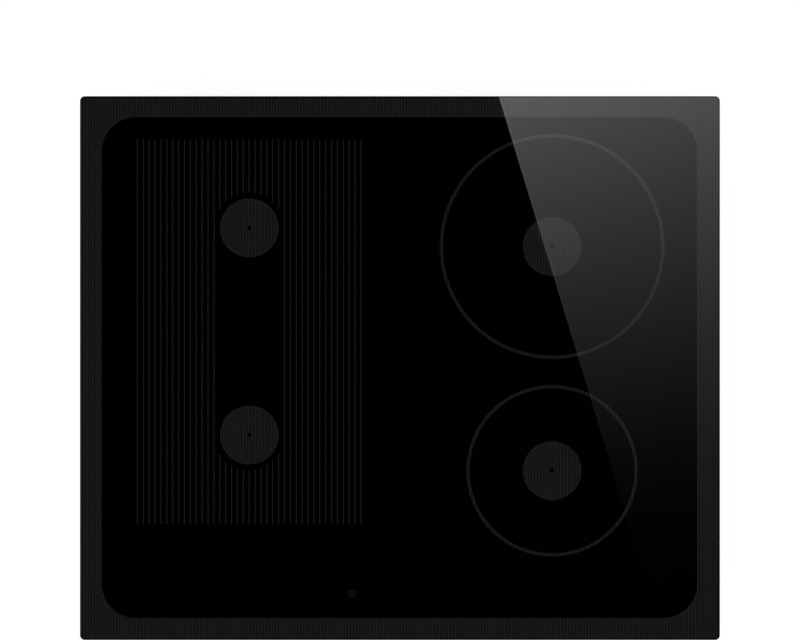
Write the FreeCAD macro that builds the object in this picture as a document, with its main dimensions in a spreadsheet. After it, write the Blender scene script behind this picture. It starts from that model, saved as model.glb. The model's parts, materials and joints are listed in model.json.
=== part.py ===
import FreeCAD, Part
import Sketcher
import math
import os

# Built-in induction cooktop: black glass over a sheet steel casing, in millimetres.
# The origin is under the middle of the casing, +Y points to the back and +Z up.

doc = FreeCAD.newDocument("induction_cooktop")
V = FreeCAD.Vector
UP = V(0, 0, 1)

LENGTHS = {
    # glass plate
    "glass_thickness": 4.0,
    "glass_corner": 4.5,
    "edge_bevel": 0.4,
    "underside_bevel": 0.5,
    # enamel print on the glass
    "print_thickness": 0.05,
    "print_edge": 1.2,
    "border_width": 20.0,
    "panel_corner": 32.0,
    "disc_diameter": 55.0,
    "dot_diameter": 3.3,
    "ring_line": 2.5,
    "stripe_width": 0.9,
    "stripe_inset": 6.7,
    "stripe_disc_gap": 5.5,
    "key_diameter": 7.4,
    "key_stroke": 1.1,
    # cooking zones and the bare glass round them
    "left_zone_depth": 180.0,
    "left_zone_straight": 30.0,
    "left_zone_gap": 14.2,
    "left_margin_back": 33.6,
    "zone_margin_left": 53.8,
    "zone_gap": 74.2,
    "zone_margin_right": 52.0,
    "right_margin_back": 36.0,
    "right_zone_gap": 25.2,
    "control_depth": 78.8,
    "right_back_diameter": 210.0,
    "right_front_diameter": 160.0,
    # casing
    "side_overhang": 25.0,
    "end_overhang": 16.0,
    "tray_height": 49.0,
    "tray_sheet": 0.8,
    "tray_corner": 8.0,
    "tray_bend": 1.2,
    "vent_width": 3.0,
    "vent_length": 18.0,
    "vent_pitch": 6.0,
    "vent_height": 24.0,
    "vent_side": 35.0,
    "bead_width": 10.0,
    "bead_end": 32.0,
    "bead_rise": 2.0,
    "bead_x": 14.0,
    "intake_radius": 36.0,
    "intake_flange": 5.0,
    "intake_thickness": 1.2,
    "intake_slot": 3.0,
    "fit_gap": 0.3,
    "frame_sheet": 1.0,
    "frame_flange": 14.0,
    "frame_leg": 10.0,
    "frame_rise": 1.0,
    "bond_thickness": 1.0,
    "bond_width": 6.0,
    "bond_inset": 3.0,
    "seal_thickness": 2.0,
    "seal_width": 8.0,
    "seal_inset": 1.0,
    # screws that hold the frame in the casing
    "screw_radius": 1.8,
    "screw_length": 6.0,
    "screw_head_radius": 3.4,
    "screw_head_top": 2.4,
    "screw_head_height": 2.0,
    "screw_drop": 6.0,
    "screw_side": 85.0,
    "screw_y": 60.0,
    # worktop clips
    "clip_end": 99.0,
    "clip_width": 30.0,
    "clip_sheet": 0.8,
    "clip_bend": 1.2,
    "clip_nose": 7.0,
    "clip_tip": 1.2,
    "clip_foot": 1.7,
    "clip_foot_length": 3.5,
    "clip_lip": 7.0,
    "clip_slot_height": 6.0,
    "clip_nose_height": 24.0,
    "clip_tip_height": 36.0,
    "clip_window_base": 28.0,
    "clip_window_height": 11.0,
    # coil decks
    "deck_wall_gap": 9.0,
    "deck_gap": 8.0,
    "deck_back_gap": 13.0,
    "deck_touch_gap": 8.0,
    "deck_sheet": 1.5,
    "deck_corner": 6.0,
    "deck_lip": 6.0,
    "deck_post_inset": 12.0,
    "deck_travel": 3.0,
    "post_radius": 3.0,
    "post_base_radius": 8.0,
    "post_base": 2.0,
    "post_rise": 3.5,
    "spring_radius": 5.0,
    "spring_wire": 1.2,
    # coils
    "mica_thickness": 0.6,
    "mica_inset": 1.0,
    "mica_hole": 14.0,
    "coil_wire": 2.8,
    "coil_space": 0.6,
    "coil_hub_gap": 1.6,
    "coil_gap": 0.3,
    "former_floor": 2.0,
    "former_rim": 2.5,
    "former_hub": 29.5,
    "ferrite_width": 12.0,
    "ferrite_height": 4.0,
    "ferrite_hub_gap": 3.5,
    "ferrite_end": 8.0,
    "ferrite_gap": 0.25,
    "sensor_base_radius": 9.0,
    "sensor_base": 2.0,
    "sensor_stem": 4.0,
    "sensor_cap_radius": 7.0,
    "sensor_cap": 3.0,
    "sensor_gap": 2.0,
    # blowers
    "fan_wall_gap": 26.0,
    "fan_back_gap": 27.0,
    "fan_deck_gap": 4.2,
    "fan_wall": 1.6,
    "scroll_gap": 4.0,
    "scroll_step": 6.0,
    "scroll_reach": 58.0,
    "outlet_width": 46.0,
    "rotor_radius": 42.0,
    "blade_root": 33.0,
    "blade_thickness": 1.2,
    "blade_inset": 0.4,
    "rotor_base": 4.0,
    "rotor_ring": 1.6,
    "rotor_plate": 2.0,
    "rotor_top_gap": 4.4,
    "cup_wall": 2.0,
    "cup_gap": 2.0,
    "cup_floor_gap": 2.0,
    "cup_floor": 3.0,
    "stator_radius": 14.0,
    "stator_base": 14.0,
    "shaft_radius": 1.5,
    "shaft_gap": 0.05,
    "shaft_end": 1.0,
    # power boards
    "board_wall_gap": 19.0,
    "board_middle": 32.0,
    "board_fan_gap": 10.0,
    "board_post_gap": 8.0,
    "board_thickness": 1.6,
    "board_margin": 3.0,
    "board_corner": 4.0,
    "board_pin_inset": 8.0,
    "carrier_floor": 1.5,
    "carrier_rim": 7.0,
    "carrier_wall": 1.5,
    "standoff_radius": 4.0,
    "standoff_height": 5.2,
    "pin_radius": 1.4,
    "pin_gap": 0.2,
    "pin_rise": 2.0,
    # parts on the boards
    "sink_length": 150.0,
    "sink_base": 4.0,
    "sink_fin": 1.6,
    "sink_top": 2.0,
    "sink_deck_gap": 3.4,
    "transistor_width": 16.0,
    "transistor_height": 21.0,
    "transistor_thickness": 5.0,
    "transistor_hole": 1.8,
    "transistor_hole_drop": 6.0,
    "leg_length": 4.0,
    "leg_width": 1.2,
    "leg_thickness": 0.6,
    "leg_pitch": 5.4,
    "capacitor_width": 32.0,
    "capacitor_depth": 15.0,
    "capacitor_height": 22.0,
    "capacitor_corner": 2.0,
    "capacitor_pitch": 40.0,
    "capacitor_space": 8.0,
    "capacitor_edge": 16.5,
    "capacitor_relay_gap": 18.0,
    "relay_width": 28.0,
    "relay_depth": 12.0,
    "relay_height": 16.0,
    "relay_corner": 1.0,
    "relay_edge": 16.0,
    # mains filter
    "filter_fan_gap": 17.4,
    "filter_board_gap": 20.0,
    "filter_back_gap": 39.0,
    "choke_radius": 13.0,
    "choke_core": 6.0,
    "choke_base": 3.0,
    "choke_edge": 5.0,
    # mains inlet
    "inlet_post_gap": 16.0,
    "inlet_fan_gap": 12.4,
    "inlet_deck_gap": 2.2,
    "inlet_frame_gap": 0.6,
    "inlet_depth": 60.0,
    "inlet_wall": 3.0,
    "inlet_floor": 2.0,
    "notch_side": 7.5,
    "notch_base": 5.0,
    "gland_height": 20.0,
    "gland_bore": 7.0,
    "gland_tube": 9.7,
    "gland_collar": 13.0,
    "gland_lip": 3.0,
    "gland_nut": 5.0,
    "block_end": 5.0,
    "block_depth": 22.0,
    "block_height": 18.0,
    "block_y": -34.0,
    "block_pitch": 10.0,
    "block_entry": 3.0,
    "block_screw": 2.2,
    "block_hole_depth": 8.0,
    # touch unit
    "touch_front": 49.0,
    "touch_width": 300.0,
    "touch_depth": 32.0,
    "touch_wall": 1.6,
    "touch_gap": 0.3,
    "touch_floor_drop": 13.0,
    "touch_board_drop": 8.0,
    "touch_leg": 8.0,
    "key_drop": 5.0,
    "pad_margin": 16.5,
    "pad_radius": 5.0,
    "display_width": 26.0,
    "display_depth": 10.0,
    "display_gap": 0.6,
    "display_margin": 60.0,
    "display_inset": 0.9,
    "buzzer_radius": 6.0,
    "buzzer_height": 5.0,
    "buzzer_margin": 26.0,
    # how far a cut runs past the face it starts from
    "overrun": 2.0,
}
COUNTS = {
    "stripes": 39,
    "bare_stripes": 11,
    "vents": 16,
    "intake_slots": 22,
    "blades": 30,
    "fins": 5,
    "ferrites": 8,
    "transistors": 4,
    "capacitors": 3,
    "relays": 2,
    "poles": 6,
    "pads": 13,
    "pads_before_key": 4,
    "displays": 4,
    "spring_turns": 9,
}
# Sizes worked out in the sheet from the ones above
DERIVED = {
    # levels from the casing's underside up to the glass
    "glass_base": "tray_height + frame_rise + bond_thickness",
    "mica_base": "glass_base - mica_thickness",
    "wire_axis": "mica_base - coil_gap - coil_wire / 2",
    "former_top": "wire_axis - coil_wire / 2 - coil_gap",
    "former_base": "former_top - former_floor",
    "deck_top": "former_base - ferrite_height - 2 * ferrite_gap",
    "deck_base": "deck_top - deck_sheet",
    "deck_low": "deck_base - deck_travel",
    # the glass is as large as its zones and the margins round them
    "left_zone_width": "left_zone_depth + left_zone_straight",
    "right_column": "max(right_back_diameter; right_front_diameter)",
    "glass_width": "zone_margin_left + left_zone_width + zone_gap + right_column + zone_margin_right",
    "left_stack": "left_margin_back + 2 * left_zone_depth + left_zone_gap",
    "right_stack": "right_margin_back + right_back_diameter + right_zone_gap + right_front_diameter",
    "glass_depth": "max(left_stack; right_stack) + control_depth",
    "left_zone_x": "zone_margin_left + left_zone_width / 2 - glass_width / 2",
    "right_zone_x": "glass_width / 2 - zone_margin_right - right_column / 2",
    "left_back_y": "glass_depth / 2 - left_margin_back - left_zone_depth / 2",
    "left_front_y": "left_back_y - left_zone_depth - left_zone_gap",
    "right_back_y": "glass_depth / 2 - right_margin_back - right_back_diameter / 2",
    "right_front_y": "right_back_y - right_back_diameter / 2 - right_zone_gap - right_front_diameter / 2",
    # print
    "panel_width": "glass_width - 2 * border_width",
    "panel_depth": "glass_depth - 2 * border_width",
    "stripe_field": "left_zone_width",
    "stripe_back": "left_back_y + left_zone_depth / 2 - stripe_inset",
    "stripe_front": "left_front_y - left_zone_depth / 2 + stripe_inset",
    # casing
    "tray_width": "glass_width - 2 * side_overhang",
    "tray_depth": "glass_depth - 2 * end_overhang",
    "vent_start": "tray_width / 2 - vent_side - vent_pitch * (vents - 1)",
    "screw_x": "tray_width / 2 - screw_side",
    "clip_y": "tray_depth / 2 - clip_end",
    # touch unit
    "touch_y": "touch_front - glass_depth / 2",
    "key_y": "touch_y - key_drop",
    "pad_pitch": "(touch_width - 2 * pad_margin) / (pads - 1)",
    "key_x": "pad_margin + pad_pitch * pads_before_key - touch_width / 2",
    "display_pitch": "(touch_width - 2 * display_margin) / (displays - 1)",
    "display_y": "touch_y + touch_depth / 2 - touch_wall - display_inset - display_depth / 2",
    "buzzer_x": "touch_width / 2 - buzzer_margin",
    "buzzer_y": "touch_y + touch_depth / 2 - touch_wall - touch_gap - buzzer_radius",
    # coil decks, from the casing's walls to the middle and from the back to the touch unit
    "deck_front": "touch_y + touch_depth / 2 + deck_touch_gap",
    "deck_back": "tray_depth / 2 - deck_back_gap",
    "deck_width": "tray_width / 2 - deck_wall_gap - deck_gap / 2",
    "deck_depth": "deck_back - deck_front",
    "deck_x": "(deck_gap + deck_width) / 2",
    "deck_y": "(deck_back + deck_front) / 2",
    "bead_length": "deck_depth - 2 * bead_end",
    # coils
    "coil_pitch": "coil_wire + coil_space",
    "coil_start": "former_hub + coil_hub_gap + coil_wire / 2",
    "ferrite_start": "former_hub + ferrite_hub_gap",
    "former_hole": "sensor_base_radius + sensor_gap",
    # blowers
    "fan_height": "deck_low - fan_deck_gap - tray_sheet",
    "scroll_radius": "rotor_radius + scroll_gap",
    "fan_x": "tray_width / 2 - fan_wall_gap - scroll_radius - 3 * scroll_step",
    "fan_y": "tray_depth / 2 - fan_back_gap - scroll_radius - scroll_step",
    "fan_inner": "fan_x - scroll_radius - fan_wall",
    "rotor_plate_base": "fan_height - fan_wall - rotor_top_gap - rotor_plate",
    "cup_radius": "stator_radius + cup_gap + cup_wall",
    "cup_base": "stator_base - cup_floor_gap - cup_floor",
    "shaft_base": "cup_base - shaft_end",
    # power boards
    "board_top": "tray_sheet + standoff_height + board_thickness",
    "board_back": "fan_y - scroll_reach - board_fan_gap",
    "board_front": "deck_front + deck_post_inset + post_base_radius + board_post_gap",
    "board_width": "tray_width / 2 - board_wall_gap - board_middle",
    "board_depth": "board_back - board_front",
    "board_x": "board_middle + board_width / 2",
    "board_y": "(board_back + board_front) / 2",
    "sink_height": "deck_low - sink_deck_gap - board_top",
    "sink_fin_pitch": "(sink_height - sink_top) / fins",
    "relay_x": "board_middle + relay_edge + relay_width / 2",
    "capacitor_x": "relay_x + relay_width / 2 + capacitor_relay_gap + capacitor_width / 2",
    # mains filter and inlet, between the middle and the blowers
    "filter_width": "fan_inner - board_middle - filter_fan_gap",
    "filter_depth": "tray_depth / 2 - filter_back_gap - board_back - filter_board_gap",
    "filter_x": "-board_middle - filter_width / 2",
    "filter_y": "board_back + filter_board_gap + filter_depth / 2",
    "choke_x": "filter_x - filter_width / 2 + choke_radius + choke_core + choke_edge",
    "choke_y": "filter_y - filter_depth / 2 + choke_radius + choke_core + choke_edge",
    "filter_capacitor_y": "filter_y + filter_depth / 2 - capacitor_edge - capacitor_depth / 2",
    "inlet_left": "deck_gap / 2 + deck_post_inset + post_base_radius + inlet_post_gap",
    "inlet_width": "fan_inner - inlet_fan_gap - inlet_left",
    "inlet_x": "inlet_left + inlet_width / 2",
    "inlet_height": "deck_low - deck_lip - inlet_deck_gap - tray_sheet",
    "inlet_back_height": "tray_height + frame_rise - frame_leg - tray_sheet - inlet_frame_gap",
    "notch_width": "inlet_width - 2 * notch_side",
    "block_width": "block_pitch * (poles - 1) + 2 * block_end",
}
BLADE_SWEEP_DEG = 16.0
FULL_TURN_DEG = 360.0
WIRE_SIDES = 8
SAMPLES_PER_CURVE = 12
ROW_LENGTH_SHARE = 0.33
OUTER_ROW_SHARE = 0.77
INNER_ROW_SHARE = 0.35
ENTRY_HEIGHT_SHARE = 0.33
BLADE_BOW_SHARE = 0.25

dims = doc.addObject("Spreadsheet::Sheet", "dims")
for row, (alias, size) in enumerate({**LENGTHS, **COUNTS}.items(), start=1):
    dims.set(f"A{row}", alias)
    dims.set(f"B{row}", str(size))
    dims.setAlias(f"B{row}", alias)
for row, (alias, formula) in enumerate(DERIVED.items(), start=len(LENGTHS) + len(COUNTS) + 1):
    dims.set(f"A{row}", alias)
    dims.set(f"B{row}", "=" + formula)
    dims.setAlias(f"B{row}", alias)
doc.recompute()

probe = doc.addObject("App::FeaturePython", "probe")
probe.addProperty("App::PropertyFloat", "Result")

SUBPARTS = []


def number(text):
    """The present value of a sheet expression."""
    probe.setExpression("Result", text)
    probe.recompute()
    return probe.Result


def register(obj, label):
    """Give a sub-part its label and list it for writing."""
    obj.Label = label
    SUBPARTS.append(obj)
    return obj


def bind(obj, **sizes):
    """Tie properties of an object to the sheet."""
    for name, text in sizes.items():
        obj.setExpression(name, text)
    return obj


def place(obj, x="0", y="0", z="0", turn=None):
    """Tie an object's position to the sheet, after an optional rotation."""
    if turn is not None:
        obj.Placement = FreeCAD.Placement(V(), turn)
    for axis, text in zip("xyz", (x, y, z)):
        if text != "0":
            obj.setExpression("Placement.Base." + axis, text)
    return obj


def about_z(degrees):
    return FreeCAD.Rotation(UP, degrees)


def box(name, width, depth, height, x="0", y="0", z="0", turn=None):
    """A box centred on x and y that stands on z."""
    solid = doc.addObject("Part::Box", name)
    bind(solid, Length=width, Width=depth, Height=height)
    return place(solid, f"{x} - ({width}) / 2", f"{y} - ({depth}) / 2", z, turn)


def cylinder(name, radius, height, x="0", y="0", z="0", turn=None):
    solid = doc.addObject("Part::Cylinder", name)
    bind(solid, Radius=radius, Height=height)
    return place(solid, x, y, z, turn)


def fuse(name, solids):
    joined = doc.addObject("Part::MultiFuse", name)
    joined.Shapes = solids
    return joined


def group(label, solids):
    """Separate solids that share one node."""
    bunch = doc.addObject("Part::Compound", label)
    bunch.Links = solids
    return register(bunch, label)


def new_body(name):
    return doc.addObject("PartDesign::Body", name)


def origin(body, role):
    return next(item for item in body.Origin.OriginFeatures if item.Role == role)


def new_sketch(body, plane="XY_Plane", height="0"):
    sketch = body.newObject("Sketcher::SketchObject", body.Name + "_sketch")
    sketch.AttachmentSupport = [(origin(body, plane), "")]
    sketch.MapMode = "FlatFace"
    if height != "0":
        sketch.setExpression("AttachmentOffset.Base.z", height)
    return sketch


def size_constraint(sketch, kind, where, text):
    """Add one dimension to a sketch and tie it to the sheet."""
    index = sketch.addConstraint(Sketcher.Constraint(kind, *where, number(text)))
    sketch.setExpression(f"Constraints[{index}]", text)


def circle(sketch, radius, x="0", y="0"):
    spot = sketch.addGeometry(Part.Circle(V(number(x), number(y), 0), UP, number(radius)))
    size_constraint(sketch, "Radius", (spot,), radius)
    size_constraint(sketch, "DistanceX", (-1, 1, spot, 3), x)
    size_constraint(sketch, "DistanceY", (-1, 1, spot, 3), y)


def rectangle(sketch, width, depth, x="0", y="0"):
    """A rectangle centred on x and y."""
    half_w, half_d = number(width) / 2, number(depth) / 2
    mid = V(number(x), number(y), 0)
    corners = [mid + V(a * half_w, b * half_d, 0) for a, b in ((1, 1), (-1, 1), (-1, -1), (1, -1))]
    lines = [sketch.addGeometry(Part.LineSegment(corners[k], corners[(k + 1) % 4])) for k in range(4)]
    for k in range(4):
        sketch.addConstraint(Sketcher.Constraint("Coincident", lines[k], 2, lines[(k + 1) % 4], 1))
        sketch.addConstraint(Sketcher.Constraint(("Horizontal", "Vertical")[k % 2], lines[k]))
    size_constraint(sketch, "DistanceX", (lines[1], 1, lines[3], 1), width)
    size_constraint(sketch, "DistanceY", (lines[2], 1, lines[0], 1), depth)
    size_constraint(sketch, "DistanceX", (-1, 1, lines[0], 1), f"{x} + ({width}) / 2")
    size_constraint(sketch, "DistanceY", (-1, 1, lines[0], 1), f"{y} + ({depth}) / 2")


def rounded_rectangle(sketch, width, depth, radius, x="0", y="0"):
    """A rectangle with round corners, centred on x and y."""
    r = number(radius)
    across, along = number(width) / 2 - r, number(depth) / 2 - r
    mid = V(number(x), number(y), 0)
    centres = [mid + V(a * across, b * along, 0) for a, b in ((1, 1), (-1, 1), (-1, -1), (1, -1))]
    arcs, ends = [], []
    for k, centre in enumerate(centres):
        arc = Part.ArcOfCircle(Part.Circle(centre, UP, r), k * math.pi / 2, (k + 1) * math.pi / 2)
        ends.append((arc.StartPoint, arc.EndPoint))
        arcs.append(sketch.addGeometry(arc))
    lines = [sketch.addGeometry(Part.LineSegment(ends[k][1], ends[(k + 1) % 4][0])) for k in range(4)]
    for k in range(4):
        sketch.addConstraint(Sketcher.Constraint("Tangent", arcs[k], 2, lines[k], 1))
        sketch.addConstraint(Sketcher.Constraint("Tangent", lines[k], 2, arcs[(k + 1) % 4], 1))
        sketch.addConstraint(Sketcher.Constraint(("Horizontal", "Vertical")[k % 2], lines[k]))
        if k:
            sketch.addConstraint(Sketcher.Constraint("Equal", arcs[0], arcs[k]))
    size_constraint(sketch, "Radius", (arcs[0],), radius)
    size_constraint(sketch, "DistanceX", (lines[1], 1, lines[3], 1), width)
    size_constraint(sketch, "DistanceY", (lines[2], 1, lines[0], 1), depth)
    size_constraint(sketch, "DistanceX", (-1, 1, arcs[0], 3), f"{x} + ({width}) / 2 - ({radius})")
    size_constraint(sketch, "DistanceY", (-1, 1, arcs[0], 3), f"{y} + ({depth}) / 2 - ({radius})")


def slot(sketch, straight, radius, x="0", y="0", upright=False):
    """A slot with round ends; the straight run lies along x, or y if upright."""
    r, half = number(radius), number(straight) / 2
    mid = V(number(x), number(y), 0)
    along = V(0, 1, 0) if upright else V(1, 0, 0)
    turn = math.pi / 2 if upright else 0.0
    arcs, ends = [], []
    for k, sign in enumerate((1, -1)):
        start = turn + math.pi * k - math.pi / 2
        arc = Part.ArcOfCircle(Part.Circle(mid + along * sign * half, UP, r), start, start + math.pi)
        ends.append((arc.StartPoint, arc.EndPoint))
        arcs.append(sketch.addGeometry(arc))
    lines = [sketch.addGeometry(Part.LineSegment(ends[k][1], ends[1 - k][0])) for k in range(2)]
    for k in range(2):
        sketch.addConstraint(Sketcher.Constraint("Tangent", arcs[k], 2, lines[k], 1))
        sketch.addConstraint(Sketcher.Constraint("Tangent", lines[k], 2, arcs[1 - k], 1))
    sketch.addConstraint(Sketcher.Constraint("Equal", arcs[0], arcs[1]))
    sketch.addConstraint(Sketcher.Constraint("Vertical" if upright else "Horizontal", lines[0]))
    size_constraint(sketch, "Radius", (arcs[0],), radius)
    run = "DistanceY" if upright else "DistanceX"
    size_constraint(sketch, run, (arcs[1], 3, arcs[0], 3), straight)
    first_x, first_y = (x, f"{y} + ({straight}) / 2") if upright else (f"{x} + ({straight}) / 2", y)
    size_constraint(sketch, "DistanceX", (-1, 1, arcs[0], 3), first_x)
    size_constraint(sketch, "DistanceY", (-1, 1, arcs[0], 3), first_y)


def sketch_arc(start, middle, end):
    """An arc through three points, drawn the way round that sketches keep arcs."""
    if (middle - start).cross(end - start).z < 0:
        start, end = end, start
    return Part.Arc(start, middle, end)


def outline(sketch, curves):
    """A closed outline from line segments and arcs drawn in order, joined end to end."""
    spots = [sketch.addGeometry(curve) for curve in curves]
    for here, following in zip(spots, spots[1:] + spots[:1]):
        ends = {1: sketch.Geometry[here].StartPoint, 2: sketch.Geometry[here].EndPoint}
        starts = {1: sketch.Geometry[following].StartPoint, 2: sketch.Geometry[following].EndPoint}
        pairs = [(ends[a].distanceToPoint(starts[b]), a, b) for a in ends for b in starts]
        _, a, b = min(pairs)
        sketch.addConstraint(Sketcher.Constraint("Coincident", here, a, following, b))


def polygon(points):
    return [Part.LineSegment(points[k], points[(k + 1) % len(points)]) for k in range(len(points))]


def pad(body, sketch, length, reverse=False):
    feature = body.newObject("PartDesign::Pad", body.Name + "_pad")
    feature.Profile = sketch
    feature.Reversed = reverse
    feature.setExpression("Length", length)
    return feature


def pocket(body, sketch, length=None, reverse=False):
    """A cut of the given length, or right through both ways."""
    feature = body.newObject("PartDesign::Pocket", body.Name + "_pocket")
    feature.Profile = sketch
    feature.Reversed = reverse
    if length is None:
        feature.Type = "ThroughAll"
        feature.SideType = "Symmetric"
    else:
        feature.setExpression("Length", length)
    return feature


def revolve(body, sketch, axis):
    feature = body.newObject("PartDesign::Revolution", body.Name + "_turned")
    feature.Profile = sketch
    feature.ReferenceAxis = (origin(body, axis), [""])
    feature.Angle = FULL_TURN_DEG
    return feature


def polar(body, feature, count):
    pattern = body.newObject("PartDesign::PolarPattern", body.Name + "_around")
    pattern.Originals = [feature]
    pattern.Axis = (origin(body, "Z_Axis"), [""])
    pattern.Angle = FULL_TURN_DEG
    body.Tip = pattern
    pattern.setExpression("Occurrences", count)
    return pattern


def linear(body, feature, axis, length, count):
    pattern = body.newObject("PartDesign::LinearPattern", body.Name + "_row")
    pattern.Originals = [feature]
    pattern.Direction = (origin(body, axis), [""])
    body.Tip = pattern
    pattern.setExpression("Length", length)
    pattern.setExpression("Occurrences", count)
    return pattern


def end_face(body, top):
    """The body's last feature with the name of its top or bottom face."""
    doc.recompute()
    levels = [face.CenterOfMass.z for face in body.Tip.Shape.Faces]
    pick = levels.index(max(levels) if top else min(levels))
    return body.Tip, [f"Face{pick + 1}"]


def bevel(body, size, top):
    """Chamfer the rim of the top or the bottom face."""
    rim = end_face(body, top)
    chamfer = body.newObject("PartDesign::Chamfer", body.Name + "_bevel")
    chamfer.Base = rim
    chamfer.setExpression("Size", size)
    return chamfer


def round_rim(body, radius, top):
    """Round the rim of the top or the bottom face."""
    rim = end_face(body, top)
    fillet = body.newObject("PartDesign::Fillet", body.Name + "_bend")
    fillet.Base = rim
    fillet.setExpression("Radius", radius)
    return fillet


def plate(name, height, base, loops):
    """A flat body between closed round-cornered loops, each width, depth and corner."""
    body = new_body(name)
    sketch = new_sketch(body)
    for width, depth, corner in loops:
        rounded_rectangle(sketch, width, depth, corner)
    pad(body, sketch, height)
    return place(body, z=base)


def screw(name, x, y, z, direction):
    """A tapping screw whose head stands out along the direction."""
    head = doc.addObject("Part::Cone", name + "_head")
    bind(head, Radius1="dims.screw_head_radius", Radius2="dims.screw_head_top",
         Height="dims.screw_head_height")
    shank = cylinder(name + "_shank", "dims.screw_radius", "dims.screw_length", z="-dims.screw_length")
    joined = fuse(name, [head, shank])
    return place(joined, x, y, z, FreeCAD.Rotation(UP, direction))


FLOOR = "dims.tray_sheet"
GLASS_BASE = "dims.glass_base"
PRINT_BASE = f"({GLASS_BASE} + dims.glass_thickness)"
MICA_BASE = "dims.mica_base"
WIRE_AXIS = "dims.wire_axis"
FORMER_TOP = "dims.former_top"
FORMER_BASE = "dims.former_base"
DECK_TOP = "dims.deck_top"
DECK_BASE = "dims.deck_base"
INNER_WIDTH = "(dims.tray_width - 2 * dims.tray_sheet)"
INNER_DEPTH = "(dims.tray_depth - 2 * dims.tray_sheet)"
FRAME_WIDTH = f"({INNER_WIDTH} - 2 * dims.fit_gap)"
FRAME_DEPTH = f"({INNER_DEPTH} - 2 * dims.fit_gap)"
FRAME_CORNER = "(dims.tray_corner - dims.tray_sheet - dims.fit_gap)"
FRAME_TOP = "(dims.tray_height + dims.frame_rise)"
SCREW_LEVEL = f"({FRAME_TOP} - dims.screw_drop)"

# Glass plate with a ground bevel
glass = plate("glass_top", "dims.glass_thickness", GLASS_BASE,
              [("dims.glass_width", "dims.glass_depth", "dims.glass_corner")])
bevel(glass, "dims.edge_bevel", top=True)
bevel(glass, "dims.underside_bevel", top=False)
register(glass, "glass_top")

# Foam seal that lies on the worktop
SEAL_WIDTH = "(dims.glass_width - 2 * dims.seal_inset)"
SEAL_DEPTH = "(dims.glass_depth - 2 * dims.seal_inset)"
seal = plate("edge_seal", "dims.seal_thickness", f"{GLASS_BASE} - dims.seal_thickness", [
    (SEAL_WIDTH, SEAL_DEPTH, "dims.glass_corner"),
    (f"{SEAL_WIDTH} - 2 * dims.seal_width", f"{SEAL_DEPTH} - 2 * dims.seal_width", "dims.glass_corner"),
])
register(seal, "edge_seal")

# Silicone bead between the frame and the glass
BOND_WIDTH = f"({FRAME_WIDTH} - 2 * dims.bond_inset)"
BOND_DEPTH = f"({FRAME_DEPTH} - 2 * dims.bond_inset)"
bond = plate("bond_bead", "dims.bond_thickness", f"{GLASS_BASE} - dims.bond_thickness", [
    (BOND_WIDTH, BOND_DEPTH, FRAME_CORNER),
    (f"{BOND_WIDTH} - 2 * dims.bond_width", f"{BOND_DEPTH} - 2 * dims.bond_width", FRAME_CORNER),
])
register(bond, "bond_bead")

# Folded frame under the glass: an upright leg inside the casing and an inward flange
frame = plate("glass_frame", "dims.frame_leg", f"{FRAME_TOP} - dims.frame_leg", [
    (FRAME_WIDTH, FRAME_DEPTH, FRAME_CORNER),
    (f"{FRAME_WIDTH} - 2 * dims.frame_sheet", f"{FRAME_DEPTH} - 2 * dims.frame_sheet",
     f"{FRAME_CORNER} - dims.frame_sheet"),
])
sketch = new_sketch(frame, height="dims.frame_leg - dims.frame_sheet")
rounded_rectangle(sketch, FRAME_WIDTH, FRAME_DEPTH, FRAME_CORNER)
rounded_rectangle(sketch, f"{FRAME_WIDTH} - 2 * dims.frame_flange", f"{FRAME_DEPTH} - 2 * dims.frame_flange",
                  FRAME_CORNER)
pad(frame, sketch, "dims.frame_sheet")
SCREW_HOLE = "(dims.screw_radius + dims.fit_gap)"


def screw_holes(body, level):
    """Clearance holes through opposite walls for the frame screws."""
    for plane, spot in (("XZ_Plane", "dims.screw_x"), ("YZ_Plane", "dims.screw_y")):
        holes = new_sketch(body, plane)
        circle(holes, SCREW_HOLE, spot, level)
        circle(holes, SCREW_HOLE, "-" + spot, level)
        pocket(body, holes)


screw_holes(frame, "dims.frame_leg - dims.screw_drop")
register(frame, "glass_frame")

# Casing pressed and folded from sheet steel
tray = plate("bottom_tray", "dims.tray_height", "0",
             [("dims.tray_width", "dims.tray_depth", "dims.tray_corner")])
round_rim(tray, "dims.tray_bend", top=False)
sketch = new_sketch(tray, height=FLOOR)
rounded_rectangle(sketch, INNER_WIDTH, INNER_DEPTH, "dims.tray_corner - dims.tray_sheet")
pocket(tray, sketch, "dims.tray_height", reverse=True)

# Stiffening beads pressed up into the floor
sketch = new_sketch(tray)
for sign in ("", "-"):
    slot(sketch, "dims.bead_length", "dims.bead_width / 2", sign + "dims.bead_x", "dims.deck_y", upright=True)
pad(tray, sketch, "dims.bead_rise + dims.tray_sheet")
sketch = new_sketch(tray)
for sign in ("", "-"):
    slot(sketch, "dims.bead_length", "dims.bead_width / 2 - dims.tray_sheet", sign + "dims.bead_x",
         "dims.deck_y", upright=True)
pocket(tray, sketch, "dims.bead_rise", reverse=True)

# Air intakes under the blowers
sketch = new_sketch(tray)
for sign in ("", "-"):
    circle(sketch, "dims.intake_radius", sign + "dims.fan_x", "dims.fan_y")
pocket(tray, sketch, "dims.tray_sheet", reverse=True)

# Air outlet slots through the front and back walls
sketch = new_sketch(tray, "XZ_Plane")
VENT_RUN = "(dims.vent_pitch * (dims.vents - 1))"
for x in ("dims.vent_start", f"-dims.vent_start - {VENT_RUN}"):
    slot(sketch, "dims.vent_length - dims.vent_width", "dims.vent_width / 2", x, "dims.vent_height",
         upright=True)
linear(tray, pocket(tray, sketch), "X_Axis", VENT_RUN, "dims.vents")

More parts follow.
